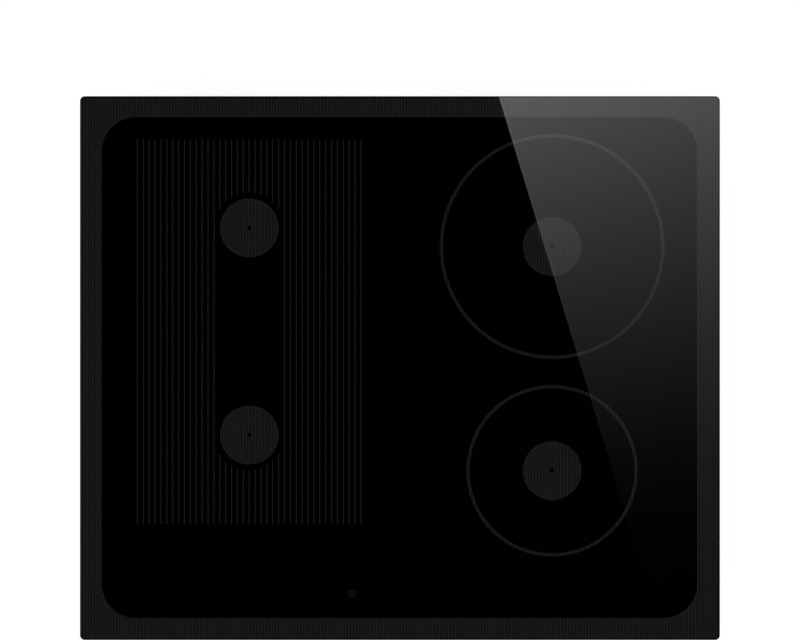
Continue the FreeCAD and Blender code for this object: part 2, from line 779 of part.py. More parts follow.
# Slots and windows for the worktop clips through the side walls
CLIP_OPENING = "(dims.clip_width + 2 * dims.overrun)"
sketch = new_sketch(tray, "YZ_Plane")
for sign in ("", "-"):
    rectangle(sketch, CLIP_OPENING, "dims.clip_slot_height", sign + "dims.clip_y",
              "dims.clip_lip + dims.clip_slot_height / 2")
    rectangle(sketch, CLIP_OPENING, "dims.clip_window_height", sign + "dims.clip_y",
              "dims.clip_window_base + dims.clip_window_height / 2")
pocket(tray, sketch)
screw_holes(tray, SCREW_LEVEL)

# Open notch in the back wall for the mains inlet box
sketch = new_sketch(tray, "XZ_Plane")
rectangle(sketch, "dims.notch_width", "dims.tray_height", "dims.inlet_x",
          "dims.notch_base + dims.tray_height / 2")
pocket(tray, sketch, "dims.tray_depth")
register(tray, "bottom_tray")

# Screws through the casing into the frame
screws = []
for along in ("", "-"):
    for out in ("", "-"):
        sign = -1 if out else 1
        screws.append(screw("frame_screw", along + "dims.screw_x", out + "dims.tray_depth / 2", SCREW_LEVEL,
                            V(0, sign, 0)))
        screws.append(screw("frame_screw", out + "dims.tray_width / 2", along + "dims.screw_y", SCREW_LEVEL,
                            V(sign, 0, 0)))
group("frame_screws", screws)

# Slotted grilles set into the air intakes
grilles = []
for sign in ("-", ""):
    grille = new_body("intake_grille")
    sketch = new_sketch(grille)
    circle(sketch, "dims.intake_radius - dims.fit_gap")
    pad(grille, sketch, "dims.tray_sheet")
    sketch = new_sketch(grille, height=FLOOR)
    circle(sketch, "dims.intake_radius + dims.intake_flange")
    pad(grille, sketch, "dims.intake_thickness")
    sketch = new_sketch(grille)
    reach = f"(dims.intake_radius * {ROW_LENGTH_SHARE} - dims.intake_slot)"
    slot(sketch, reach, "dims.intake_slot / 2", f"dims.intake_radius * {OUTER_ROW_SHARE}")
    polar(grille, pocket(grille, sketch), "dims.intake_slots")
    sketch = new_sketch(grille)
    slot(sketch, reach, "dims.intake_slot / 2", f"dims.intake_radius * {INNER_ROW_SHARE}")
    polar(grille, pocket(grille, sketch), "dims.intake_slots / 2")
    grilles.append(place(grille, sign + "dims.fan_x", "dims.fan_y"))
group("intake_grilles", grilles)


def bent_strip(points, bend, thickness):
    """A sheet metal strip in section: straight runs joined by round bends, as a face."""
    sides = {1: [], -1: []}
    arcs = []
    for before, corner, after in zip(points, points[1:], points[2:]):
        arrive = (corner - before).normalize()
        leave = (after - corner).normalize()
        turn = math.acos(max(-1.0, min(1.0, arrive.dot(leave))))
        left = 1 if arrive.cross(leave).z > 0 else -1
        cut = bend * math.tan(turn / 2)
        normal = V(-arrive.y, arrive.x, 0) * left
        centre = corner - arrive * cut + normal * bend
        middle = (corner - centre).normalize()
        arcs.append((corner - arrive * cut, corner + leave * cut, centre, middle, left))
    for side in (1, -1):
        here = points[0]
        heading = (points[1] - points[0]).normalize()
        for enter, leave, centre, middle, left in arcs:
            heading = (enter - here).normalize()
            shift = V(-heading.y, heading.x, 0) * side * thickness / 2
            radius = bend - left * side * thickness / 2
            sides[side].append(Part.LineSegment(here + shift, enter + shift))
            first = centre + (enter - centre).normalize() * radius
            last = centre + (leave - centre).normalize() * radius
            sides[side].append(Part.Arc(first, centre + middle * radius, last))
            here = leave
        heading = (points[-1] - here).normalize()
        shift = V(-heading.y, heading.x, 0) * side * thickness / 2
        sides[side].append(Part.LineSegment(here + shift, points[-1] + shift))
    caps = [Part.LineSegment(sides[1][-1].EndPoint, sides[-1][-1].EndPoint),
            Part.LineSegment(sides[1][0].StartPoint, sides[-1][0].StartPoint)]
    edges = [curve.toShape() for curve in sides[1] + sides[-1] + caps]
    return Part.Face(Part.Wire(Part.__sortEdges__(edges)))


# Worktop clips: a foot hooked behind the casing wall, a nose outside and a tip at the window
half_sheet = dims.clip_sheet / 2
foot_x = -dims.tray_sheet - dims.clip_foot
lip_top = dims.clip_lip + dims.fit_gap + half_sheet
clip_points = [
    V(foot_x, lip_top - dims.clip_foot_length, 0),
    V(foot_x, lip_top, 0),
    V(dims.fit_gap + dims.clip_bend, lip_top, 0),
    V(dims.clip_nose, dims.clip_nose_height, 0),
    V(dims.clip_tip, dims.clip_tip_height, 0),
]
clip_face = bent_strip(clip_points, dims.clip_bend, dims.clip_sheet)
clip_face.rotate(V(), V(1, 0, 0), FULL_TURN_DEG / 4)
clip_face.translate(V(0, dims.clip_width / 2, 0))
clip_shape = clip_face.extrude(V(0, -dims.clip_width, 0))
for side, x, turn in (("left", "-dims.tray_width / 2", about_z(FULL_TURN_DEG / 2)),
                      ("right", "dims.tray_width / 2", about_z(0))):
    for end, sign in (("back", ""), ("front", "-")):
        clip = doc.addObject("Part::Feature", f"clip_{side}_{end}")
        clip.Shape = clip_shape
        place(clip, x, sign + "dims.clip_y", turn=turn)
        register(clip, f"clip_{side}_{end}")

# Posts that guide the coil decks
POST_X = "(dims.deck_width / 2 - dims.deck_post_inset)"
POST_Y = "(dims.deck_depth / 2 - dims.deck_post_inset)"
SIDES = (("left", "-"), ("right", ""))
CORNERS = ((1, 1), (-1, 1), (-1, -1), (1, -1))
posts = []
for side, sign in SIDES:
    for a, b in CORNERS:
        base = cylinder("post_base", "dims.post_base_radius", "dims.post_base")
        stem = cylinder("post_stem", "dims.post_radius", f"{DECK_TOP} + dims.post_rise - {FLOOR}")
        posts.append(place(fuse("post", [base, stem]), f"{sign}dims.deck_x + {a} * {POST_X}",
                           f"dims.deck_y + {b} * {POST_Y}", FLOOR))
group("deck_posts", posts)


def arc_between(start, knee, end):
    """The arc from start to end that is tangent to both legs of a bend."""
    arrive = (knee - start).normalize()
    leave = (end - knee).normalize()
    half = math.acos(max(-1.0, min(1.0, arrive.dot(leave)))) / 2
    middle = (start + end) * 0.5
    reach = (knee - start).Length
    radius = reach / math.tan(half)
    return Part.Arc(start, knee + (middle - knee).normalize() * radius * (1 / math.cos(half) - 1), end)


def helix(radius, base, top, turns):
    """A coil spring's centre line from pairs of tangent arcs, a quarter turn each."""
    steps = int(round(turns)) * 4
    rise = (top - base) / steps
    slope = rise / (math.pi / 2)
    curves = []
    for k in range(steps):
        ends = []
        for j in (k, k + 1):
            angle = j * math.pi / 2
            spot = V(radius * math.cos(angle), radius * math.sin(angle), base + rise * j)
            way = V(-radius * math.sin(angle), radius * math.cos(angle), slope).normalize()
            ends.append((spot, way))
        (p, s), (q, t) = ends
        gap, both = q - p, s + t
        spread = 2 * (1 - s.dot(t))
        reach = (-gap.dot(both) + math.sqrt(gap.dot(both) ** 2 + spread * gap.dot(gap))) / spread
        knee_p, knee_q = p + s * reach, q - t * reach
        join = (knee_p + knee_q) * 0.5
        curves.append(arc_between(p, knee_p, join))
        curves.append(arc_between(join, knee_q, q))
    return curves


def tube(curves, diameter):
    """One unbroken tube along tangent curves, many-sided to stay light."""
    spine = Part.Wire([curve.toShape() for curve in curves])
    start = curves[0].value(curves[0].FirstParameter)
    way = curves[0].tangent(curves[0].FirstParameter)[0]
    ring = Part.Circle(start, way, diameter / 2)
    corners = [ring.value(2 * math.pi * (k + 0.5) / WIRE_SIDES) for k in range(WIRE_SIDES)]
    return spine.makePipeShell([Part.makePolygon(corners + corners[:1])], True, False)


def least_gap(curves, diameter, loops):
    """The least clear gap of a wound tube to its next loop, measured on points."""
    points = []
    for k, curve in enumerate(curves):
        first, last = curve.FirstParameter, curve.LastParameter
        for j in range(SAMPLES_PER_CURVE):
            points.append((k, curve.value(first + (last - first) * j / SAMPLES_PER_CURVE)))
    per_loop = len(curves) / loops
    least = None
    for index, (k, p) in enumerate(points):
        for m, q in points[index:]:
            if m - k < per_loop / 2:
                continue
            if m - k > per_loop + per_loop / 2:
                break
            reach = (q - p).Length
            least = reach if least is None else min(least, reach)
    return least - diameter


# Springs that press the coil decks up against the glass
spring_base = dims.tray_sheet + dims.post_base + dims.spring_wire / 2
spring_top = number(DECK_BASE) - dims.spring_wire / 2
spring_line = helix(dims.spring_radius, spring_base, spring_top, dims.spring_turns)
spring_shape = tube(spring_line, dims.spring_wire)
print("spring gap", round(least_gap(spring_line, dims.spring_wire, dims.spring_turns), 3))
for side, sign in SIDES:
    copies = []
    for a, b in CORNERS:
        copy = spring_shape.copy()
        copy.translate(V(number(f"{sign}dims.deck_x + {a} * {POST_X}"),
                         number(f"dims.deck_y + {b} * {POST_Y}"), 0))
        copies.append(copy)
    springs = doc.addObject("Part::Feature", f"deck_springs_{side}")
    springs.Shape = Part.makeCompound(copies)
    register(springs, f"deck_springs_{side}")

COILS = {
    "left_back": ("left", "dims.left_zone_x", "dims.left_back_y",
                  "dims.left_zone_width - dims.left_zone_depth", "dims.left_zone_depth / 2"),
    "left_front": ("left", "dims.left_zone_x", "dims.left_front_y",
                   "dims.left_zone_width - dims.left_zone_depth", "dims.left_zone_depth / 2"),
    "right_back": ("right", "dims.right_zone_x", "dims.right_back_y", None, "dims.right_back_diameter / 2"),
    "right_front": ("right", "dims.right_zone_x", "dims.right_front_y", None,
                    "dims.right_front_diameter / 2"),
}

# Aluminium decks that carry the coils
for side, sign in SIDES:
    deck = plate(f"deck_plate_{side}", "dims.deck_sheet", DECK_BASE,
                 [("dims.deck_width", "dims.deck_depth", "dims.deck_corner")])
    sketch = new_sketch(deck)
    rounded_rectangle(sketch, "dims.deck_width", "dims.deck_depth", "dims.deck_corner")
    rounded_rectangle(sketch, "dims.deck_width - 2 * dims.deck_sheet",
                      "dims.deck_depth - 2 * dims.deck_sheet", "dims.deck_corner - dims.deck_sheet")
    pad(deck, sketch, "dims.deck_lip", reverse=True)
    sketch = new_sketch(deck)
    for a, b in CORNERS:
        circle(sketch, "dims.post_radius + dims.fit_gap", f"{a} * {POST_X}", f"{b} * {POST_Y}")
    pocket(deck, sketch)
    place(deck, sign + "dims.deck_x", "dims.deck_y")
    register(deck, f"deck_plate_{side}")


def coil_outline(sketch, straight, radius):
    """A round outline, or a long one with round ends."""
    if straight is None:
        circle(sketch, radius)
    else:
        slot(sketch, straight, radius)


def spiral(straight, first, pitch, turns, lead):
    """A flat spiral of half-turn arcs with a straight lead at each end."""
    half = straight / 2
    low, high = -first, first
    curves = [Part.LineSegment(V(half - lead, low, 0), V(half, low, 0))]
    for _ in range(turns):
        middle = (low + high) / 2
        curves.append(Part.Arc(V(half, low, 0), V(half + (high - low) / 2, middle, 0), V(half, high, 0)))
        if straight:
            curves.append(Part.LineSegment(V(half, high, 0), V(-half, high, 0)))
        low -= pitch
        middle = (low + high) / 2
        curves.append(Part.Arc(V(-half, high, 0), V(-half - (high - low) / 2, middle, 0), V(-half, low, 0)))
        if straight:
            curves.append(Part.LineSegment(V(-half, low, 0), V(half, low, 0)))
        high += pitch
    curves.append(Part.LineSegment(V(half, low, 0), V(half + lead, low, 0)))
    return curves


bars = {"left": [], "right": []}
micas = {"left": [], "right": []}
sensors = {"left": [], "right": []}
for name, (side, x, y, straight, radius) in COILS.items():
    # moulded former: a floor with a hub, a rim and two rings that stand on the deck
    former = new_body(f"coil_former_{name}")
    sketch = new_sketch(former)
    coil_outline(sketch, straight, radius)
    circle(sketch, "dims.former_hole")
    pad(former, sketch, "dims.former_floor")
    sketch = new_sketch(former, height="dims.former_floor")
    coil_outline(sketch, straight, radius)
    coil_outline(sketch, straight, f"{radius} - dims.former_rim")
    circle(sketch, "dims.former_hub")
    circle(sketch, "dims.former_hub - dims.former_rim")
    pad(former, sketch, f"{MICA_BASE} - {FORMER_TOP}")
    sketch = new_sketch(former)
    coil_outline(sketch, straight, radius)
    coil_outline(sketch, straight, f"{radius} - dims.former_rim")
    circle(sketch, "dims.former_hub")
    circle(sketch, "dims.former_hub - dims.former_rim")
    pad(former, sketch, f"{FORMER_BASE} - {DECK_TOP}", reverse=True)
    place(former, x, y, FORMER_BASE)
    register(former, f"coil_former_{name}")

    # litz winding, one flat spiral
    run = 0.0 if straight is None else number(straight)
    room = number(f"{radius} - dims.former_rim - dims.coil_gap - dims.coil_wire / 2 - dims.coil_start")
    turns = int(room / dims.coil_pitch)
    line = spiral(run, dims.coil_start, dims.coil_pitch, turns, dims.coil_wire)
    print(name, "turns", turns, "gap", round(least_gap(line, dims.coil_wire, turns), 3))
    winding = doc.addObject("Part::Feature", f"coil_winding_{name}")
    winding.Shape = tube(line, dims.coil_wire)
    place(winding, x, y, WIRE_AXIS)
    register(winding, f"coil_winding_{name}")

    # ferrite bars under the floor, like spokes
    length = f"({radius} - dims.ferrite_end - dims.ferrite_start)"
    for k in range(COUNTS["ferrites"]):
        degrees = FULL_TURN_DEG * (k + 0.5) / COUNTS["ferrites"]
        bar = box("ferrite_bar", length, "dims.ferrite_width", "dims.ferrite_height",
                  f"dims.ferrite_start + {length} / 2")
        spoke = doc.addObject("Part::Compound", "ferrite_spoke")
        spoke.Links = [bar]
        bars[side].append(place(spoke, x, y, f"{DECK_TOP} + dims.ferrite_gap", about_z(degrees)))

    # mica sheet over the winding
    mica = new_body("mica_sheet")
    sketch = new_sketch(mica)
    coil_outline(sketch, straight, f"{radius} - dims.mica_inset")
    circle(sketch, "dims.mica_hole")
    pad(mica, sketch, "dims.mica_thickness")
    micas[side].append(place(mica, x, y, MICA_BASE))

    # temperature sensor pressed to the glass
    sensor = new_body("sensor")
    sketch = new_sketch(sensor, "XZ_Plane")
    tall = number(f"{GLASS_BASE} - {DECK_TOP}")
    cap_base = tall - dims.sensor_cap
    outline(sketch, polygon([V(0, 0, 0), V(dims.sensor_base_radius, 0, 0),
                             V(dims.sensor_base_radius, dims.sensor_base, 0),
                             V(dims.sensor_stem, dims.sensor_base, 0), V(dims.sensor_stem, cap_base, 0),
                             V(dims.sensor_cap_radius, cap_base, 0), V(dims.sensor_cap_radius, tall, 0),
                             V(0, tall, 0)]))
    revolve(sensor, sketch, "Z_Axis")
    sensors[side].append(place(sensor, x, y, DECK_TOP))
for side, sign in SIDES:
    group(f"coil_ferrites_{side}", bars[side])
    group(f"mica_sheets_{side}", micas[side])
    group(f"sensors_{side}", sensors[side])


def scroll(side, grow, reach):
    """The blower's scroll in plan: quarter arcs of growing radius and an outlet to the front."""
    step = dims.scroll_step
    r1, r2, r3 = (dims.scroll_radius + grow + k * step for k in range(3))
    half = math.sqrt(0.5)
    outer = -(dims.scroll_radius + 3 * step) - grow
    inner = -(dims.scroll_radius + 3 * step) + dims.outlet_width + grow

    def spot(x, y):
        return V(-side * x, y, 0)

    tongue, start, right = spot(inner, -r1), spot(0, -r1), spot(r1, 0)
    back, left = spot(-step, r2), spot(outer, -step)
    return [
        Part.LineSegment(spot(outer, -reach), spot(inner, -reach)),
        Part.LineSegment(spot(inner, -reach), tongue),
        Part.LineSegment(tongue, start),
        sketch_arc(start, spot(r1 * half, -r1 * half), right),
        sketch_arc(right, spot(-step + r2 * half, r2 * half), back),
        sketch_arc(back, spot(-step - r3 * half, -step + r3 * half), left),
        Part.LineSegment(left, spot(outer, -reach)),
    ]


def polar_spot(radius, angle):
    return V(radius * math.cos(angle), radius * math.sin(angle), 0)


motors = []
for side, sign in SIDES:
    hand = -1 if sign else 1
    # scroll housing, open below over the intake and to the front at its outlet
    housing = new_body(f"fan_housing_{side}")
    sketch = new_sketch(housing)
    outline(sketch, scroll(hand, dims.fan_wall, dims.scroll_reach))
    pad(housing, sketch, "dims.fan_height")
    sketch = new_sketch(housing)
    outline(sketch, scroll(hand, 0.0, dims.scroll_reach + dims.overrun))
    pocket(housing, sketch, "dims.fan_height - dims.fan_wall", reverse=True)
    place(housing, sign + "dims.fan_x", "dims.fan_y", FLOOR)
    register(housing, f"fan_housing_{side}")

    # motor that hangs from the housing's top wall
    motor = new_body("fan_motor")
    sketch = new_sketch(motor, "XZ_Plane")
    motor_top = dims.fan_height - dims.fan_wall
    outline(sketch, polygon([V(0, dims.shaft_base, 0), V(dims.shaft_radius, dims.shaft_base, 0),
                             V(dims.shaft_radius, dims.stator_base, 0),
                             V(dims.stator_radius, dims.stator_base, 0),
                             V(dims.stator_radius, motor_top, 0), V(0, motor_top, 0)]))
    revolve(motor, sketch, "Z_Axis")
    motors.append(place(motor, sign + "dims.fan_x", "dims.fan_y", FLOOR))

    # blower wheel: hub cup, back plate, curved blades and an open ring
    rotor = new_body(f"fan_rotor_{side}")
    sketch = new_sketch(rotor, "XZ_Plane")
    bore = dims.shaft_radius + dims.shaft_gap
    plate_top = dims.rotor_plate_base + dims.rotor_plate
    cup_inner = dims.cup_radius - dims.cup_wall
    cup_floor = dims.cup_base + dims.cup_floor
    outline(sketch, polygon([V(bore, dims.cup_base, 0), V(dims.cup_radius, dims.cup_base, 0),
                             V(dims.cup_radius, dims.rotor_plate_base, 0),
                             V(dims.rotor_radius, dims.rotor_plate_base, 0),
                             V(dims.rotor_radius, plate_top, 0), V(cup_inner, plate_top, 0),
                             V(cup_inner, cup_floor, 0), V(bore, cup_floor, 0)]))
    revolve(rotor, sketch, "Z_Axis")
    sketch = new_sketch(rotor, height="dims.rotor_base + dims.rotor_ring / 2")
    sweep = math.radians(BLADE_SWEEP_DEG) * hand
    tip, root = dims.rotor_radius - dims.blade_inset, dims.blade_root + dims.blade_inset
    middle = (tip + root) / 2
    skew = dims.blade_thickness / middle * hand
    edges = []
    for shift in (0.0, skew):
        edges.append((polar_spot(root, shift), polar_spot(middle, shift + sweep * BLADE_BOW_SHARE),
                      polar_spot(tip, shift + sweep)))
    (a, b, c), (d, e, f) = edges
    outline(sketch, [sketch_arc(a, b, c), Part.LineSegment(c, f), sketch_arc(f, e, d),
                     Part.LineSegment(d, a)])
    blade = pad(rotor, sketch, "dims.rotor_plate_base - dims.rotor_base + dims.rotor_plate / 2"
                               " - dims.rotor_ring / 2")
    polar(rotor, blade, "dims.blades")
    sketch = new_sketch(rotor, height="dims.rotor_base")
    circle(sketch, "dims.rotor_radius")
    circle(sketch, "dims.blade_root")
    pad(rotor, sketch, "dims.rotor_ring")
    place(rotor, sign + "dims.fan_x", "dims.fan_y", FLOOR)
    register(rotor, f"fan_rotor_{side}")
group("fan_motors", motors)


def circuit_board(name, carrier_name, width, depth, x, y):
    """A circuit board on the pins of a moulded carrier."""
    outer_w, outer_d = f"({width} + 2 * dims.board_margin)", f"({depth} + 2 * dims.board_margin)"
    carrier = plate(carrier_name, "dims.carrier_floor", FLOOR, [(outer_w, outer_d, "dims.board_corner")])
    sketch = new_sketch(carrier)
    rounded_rectangle(sketch, outer_w, outer_d, "dims.board_corner")
    rounded_rectangle(sketch, f"{outer_w} - 2 * dims.carrier_wall", f"{outer_d} - 2 * dims.carrier_wall",
                      "dims.board_corner - dims.carrier_wall")
    pad(carrier, sketch, "dims.carrier_rim")
    pin_x = f"({width} / 2 - dims.board_pin_inset)"
    pin_y = f"({depth} / 2 - dims.board_pin_inset)"
    stack = (("dims.standoff_radius", "dims.standoff_height"),
             ("dims.pin_radius", "dims.standoff_height + dims.board_thickness + dims.pin_rise"))
    for radius, height in stack:
        sketch = new_sketch(carrier)
        for a, b in CORNERS:
            circle(sketch, radius, f"{a} * {pin_x}", f"{b} * {pin_y}")
        pad(carrier, sketch, height)
    place(carrier, x, y)
    register(carrier, carrier_name)
    board = plate(name, "dims.board_thickness", f"{FLOOR} + dims.standoff_height",
                  [(width, depth, "dims.board_corner")])
    sketch = new_sketch(board)
    for a, b in CORNERS:
        circle(sketch, "dims.pin_radius + dims.pin_gap", f"{a} * {pin_x}", f"{b} * {pin_y}")
    pocket(board, sketch)
    place(board, x, y)
    return register(board, name)


def moulded_case(name, width, depth, height, corner):
    """A moulded case with round upright edges and a bevelled top, to be copied."""
    body = plate(name, height, "0", [(width, depth, corner)])
    bevel(body, f"{corner} / 2", top=True)
    return body


def copy_of(master, x, y, z):
    """A placed copy of a master solid that stands at the origin."""
    copy = doc.addObject("Part::Compound", master.Name + "_copy")
    copy.Links = [master]
    return place(copy, x, y, z)


capacitor = moulded_case("capacitor", "dims.capacitor_width", "dims.capacitor_depth", "dims.capacitor_height",
                         "dims.capacitor_corner")
relay = moulded_case("relay", "dims.relay_width", "dims.relay_depth", "dims.relay_height",
                     "dims.relay_corner")

# Power transistor: a flat package with a screw hole, on three legs
transistor = new_body("transistor")
sketch = new_sketch(transistor, height="dims.leg_length")
rectangle(sketch, "dims.transistor_thickness", "dims.transistor_width")
pad(transistor, sketch, "dims.transistor_height - dims.leg_length")
sketch = new_sketch(transistor, "YZ_Plane")
circle(sketch, "dims.transistor_hole", "0", "dims.transistor_height - dims.transistor_hole_drop")
pocket(transistor, sketch)
sketch = new_sketch(transistor)
for k in (-1, 0, 1):
    rectangle(sketch, "dims.leg_thickness", "dims.leg_width", "0", f"{k} * dims.leg_pitch")
pad(transistor, sketch, "dims.leg_length")

BOARD_TOP = "dims.board_top"
OUTLET_OUTER = "(dims.fan_x + dims.scroll_radius + 3 * dims.scroll_step)"
SINK_X = f"({OUTLET_OUTER} - dims.outlet_width)"
transistors, capacitors, relays = [], [], []
for side, sign in SIDES:
    hand = -1 if sign else 1
    circuit_board(f"power_board_{side}", f"board_carrier_{side}", "dims.board_width", "dims.board_depth",
                  sign + "dims.board_x", "dims.board_y")

    # finned heat sink in line with the blower's outlet
    sink = new_body(f"heat_sink_{side}")
    sketch = new_sketch(sink, "XZ_Plane")
    rectangle(sketch, "dims.sink_base", "dims.sink_height", "dims.sink_base / 2", "dims.sink_height / 2")
    pad(sink, sketch, "dims.sink_length")
    sketch = new_sketch(sink, "XZ_Plane")
    rectangle(sketch, "dims.outlet_width", "dims.sink_fin", "dims.outlet_width / 2",
              "dims.sink_fin_pitch - dims.sink_fin / 2")
    fin = pad(sink, sketch, "dims.sink_length")
    linear(sink, fin, "Z_Axis", "dims.sink_fin_pitch * (dims.fins - 1)", "dims.fins")
    sink_y = "dims.board_back" if hand > 0 else "dims.board_back - dims.sink_length"
    place(sink, sign + SINK_X, sink_y, BOARD_TOP, about_z(0 if hand > 0 else FULL_TURN_DEG / 2))
    register(sink, f"heat_sink_{side}")

    for k in range(COUNTS["transistors"]):
        transistors.append(copy_of(transistor, f"{sign}({SINK_X} - dims.transistor_thickness / 2)",
                                   f"dims.board_back - dims.sink_length / dims.transistors * {k + 0.5}",
                                   BOARD_TOP))
    for k in range(COUNTS["capacitors"]):
        capacitors.append(copy_of(capacitor, sign + "dims.capacitor_x",
                                  f"dims.board_back - dims.capacitor_pitch * {k + 1}", BOARD_TOP))
    for k in range(COUNTS["relays"]):
        relays.append(copy_of(relay, sign + "dims.relay_x",
                              f"dims.board_back - dims.capacitor_pitch * {k + 1}", BOARD_TOP))
group("power_transistors", transistors)
group("resonance_capacitors", capacitors)
group("relays", relays)

# Mains filter board with a ring choke and two capacitors
circuit_board("filter_board", "filter_carrier", "dims.filter_width", "dims.filter_depth",
              "dims.filter_x", "dims.filter_y")
core = doc.addObject("Part::Torus", "choke_core")
bind(core, Radius1="dims.choke_radius", Radius2="dims.choke_core")
place(core, "dims.choke_x", "dims.choke_y",
      f"{BOARD_TOP} + dims.choke_base + dims.choke_core / 2")
base = cylinder("choke_foot", "dims.choke_radius + dims.choke_core", "dims.choke_base",
                "dims.choke_x", "dims.choke_y", BOARD_TOP)
register(fuse("filter_choke", [core, base]), "filter_choke")
filters = []
for sign in (-1, 1):
    filters.append(copy_of(capacitor,
                           f"dims.filter_x + {sign} * (dims.capacitor_width + dims.capacitor_space) / 2",
                           "dims.filter_capacitor_y", BOARD_TOP))
group("filter_capacitors", filters)

# Mains inlet box: its back face fills the notch in the casing's back wall
INLET_BACK = "(dims.tray_depth / 2 - dims.tray_sheet - dims.fit_gap)"
inlet = new_body("inlet_box")
sketch = new_sketch(inlet)
rectangle(sketch, "dims.inlet_width", "dims.inlet_depth", y="-dims.inlet_depth / 2")
pad(inlet, sketch, "dims.inlet_height")
sketch = new_sketch(inlet, height="dims.inlet_floor")
rectangle(sketch, "dims.inlet_width - 2 * dims.inlet_wall", "dims.inlet_depth - 2 * dims.inlet_wall",
          y="-dims.inlet_depth / 2")
pocket(inlet, sketch, "dims.inlet_height", reverse=True)
sketch = new_sketch(inlet)
rectangle(sketch, "dims.inlet_width", "dims.inlet_wall", y="-dims.inlet_wall / 2")
pad(inlet, sketch, "dims.inlet_back_height")
sketch = new_sketch(inlet, "XZ_Plane")
notch_low = "(dims.notch_base - dims.tray_sheet + dims.fit_gap)"
rectangle(sketch, "dims.notch_width - 2 * dims.fit_gap", f"dims.inlet_back_height - {notch_low}", "0",
          f"(dims.inlet_back_height + {notch_low}) / 2")
pad(inlet, sketch, "dims.tray_sheet + dims.fit_gap", reverse=True)
sketch = new_sketch(inlet, "XZ_Plane", height="dims.inlet_wall + dims.overrun")
circle(sketch, "dims.gland_tube + dims.fit_gap", "0", "dims.gland_height - dims.tray_sheet")
pocket(inlet, sketch, "dims.inlet_wall + 3 * dims.overrun")
place(inlet, "dims.inlet_x", INLET_BACK, FLOOR)
register(inlet, "inlet_box")

# Cable gland: a collar outside, a nut inside and a clear bore for the cable
gland = new_body("cable_gland")
sketch = new_sketch(gland)
face_y = dims.tray_sheet + dims.fit_gap
nut_y = -dims.inlet_wall
outline(sketch, polygon([V(dims.gland_bore, nut_y - dims.gland_nut, 0),
                         V(dims.gland_collar, nut_y - dims.gland_nut, 0),
                         V(dims.gland_collar, nut_y, 0), V(dims.gland_tube, nut_y, 0),
                         V(dims.gland_tube, face_y, 0), V(dims.gland_collar, face_y, 0),
                         V(dims.gland_collar, face_y + dims.gland_lip, 0),
                         V(dims.gland_bore, face_y + dims.gland_lip, 0)]))
revolve(gland, sketch, "Y_Axis")
place(gland, "dims.inlet_x", INLET_BACK, "dims.gland_height")
register(gland, "cable_gland")

# Terminal block with a row of wire entries and screw wells
block = new_body("terminal_block")
sketch = new_sketch(block)
rectangle(sketch, "dims.block_width", "dims.block_depth")
pad(block, sketch, "dims.block_height")
row_start = "(-dims.block_pitch * (dims.poles - 1) / 2)"
row_run = "dims.block_pitch * (dims.poles - 1)"
sketch = new_sketch(block, "XZ_Plane", height="-dims.block_depth / 2 + dims.block_hole_depth")
circle(sketch, "dims.block_entry", row_start, f"dims.block_height * {ENTRY_HEIGHT_SHARE}")
linear(block, pocket(block, sketch, "dims.block_depth"), "X_Axis", row_run, "dims.poles")
sketch = new_sketch(block, height="dims.block_height - dims.block_hole_depth / 2")
circle(sketch, "dims.block_screw", row_start)
linear(block, pocket(block, sketch, "dims.block_depth", reverse=True), "X_Axis", row_run, "dims.poles")
place(block, "dims.inlet_x", f"{INLET_BACK} + dims.block_y", f"{FLOOR} + dims.inlet_floor")
register(block, "terminal_block")

# Touch unit under the front of the glass
TOUCH_TOP = f"({GLASS_BASE} - dims.touch_gap)"
TOUCH_BASE = f"({GLASS_BASE} - dims.touch_floor_drop)"
TOUCH_BOARD = f"({GLASS_BASE} - dims.touch_board_drop)"
TOUCH_BOARD_TOP = f"({TOUCH_BOARD} + dims.board_thickness)"
holder = new_body("touch_frame")
sketch = new_sketch(holder)
rectangle(sketch, "dims.touch_width", "dims.touch_depth")
pad(holder, sketch, f"{TOUCH_TOP} - {TOUCH_BASE}")
sketch = new_sketch(holder, height=f"{TOUCH_BOARD} - {TOUCH_BASE}")
rectangle(sketch, "dims.touch_width - 2 * dims.touch_wall", "dims.touch_depth - 2 * dims.touch_wall")
pocket(holder, sketch, "dims.touch_floor_drop", reverse=True)
sketch = new_sketch(holder, height="dims.touch_wall")
rectangle(sketch, "dims.touch_width - 4 * dims.touch_wall", "dims.touch_depth - 4 * dims.touch_wall")
pocket(holder, sketch, "dims.touch_floor_drop", reverse=True)
sketch = new_sketch(holder)
for a, b in CORNERS:
    rectangle(sketch, "dims.touch_leg", "dims.touch_leg", f"{a} * (dims.touch_width - dims.touch_leg) / 2",
              f"{b} * (dims.touch_depth - dims.touch_leg) / 2")
pad(holder, sketch, f"{TOUCH_BASE} - {FLOOR}", reverse=True)
place(holder, y="dims.touch_y", z=TOUCH_BASE)
register(holder, "touch_frame")
register(box("touch_board", "dims.touch_width - 2 * dims.touch_wall - 2 * dims.touch_gap",
             "dims.touch_depth - 2 * dims.touch_wall - 2 * dims.touch_gap", "dims.board_thickness",
             "0", "dims.touch_y", TOUCH_BOARD), "touch_board")
pads = []
for k in range(COUNTS["pads"]):
    pads.append(cylinder("touch_pad", "dims.pad_radius", f"{GLASS_BASE} - {TOUCH_BOARD_TOP}",
                         f"dims.key_x + dims.pad_pitch * {k - COUNTS['pads_before_key']}", "dims.key_y",
                         TOUCH_BOARD_TOP))
group("touch_pads", pads)
displays = []
for k in range(COUNTS["displays"]):
    displays.append(box("display", "dims.display_width", "dims.display_depth",
                        f"{GLASS_BASE} - {TOUCH_BOARD_TOP} - dims.display_gap",
                        f"dims.display_pitch * {k - (COUNTS['displays'] - 1) / 2}", "dims.display_y",
                        TOUCH_BOARD_TOP))
group("display_modules", displays)
register(cylinder("buzzer", "dims.buzzer_radius", "dims.buzzer_height", "dims.buzzer_x", "dims.buzzer_y",
                  TOUCH_BOARD_TOP), "buzzer")

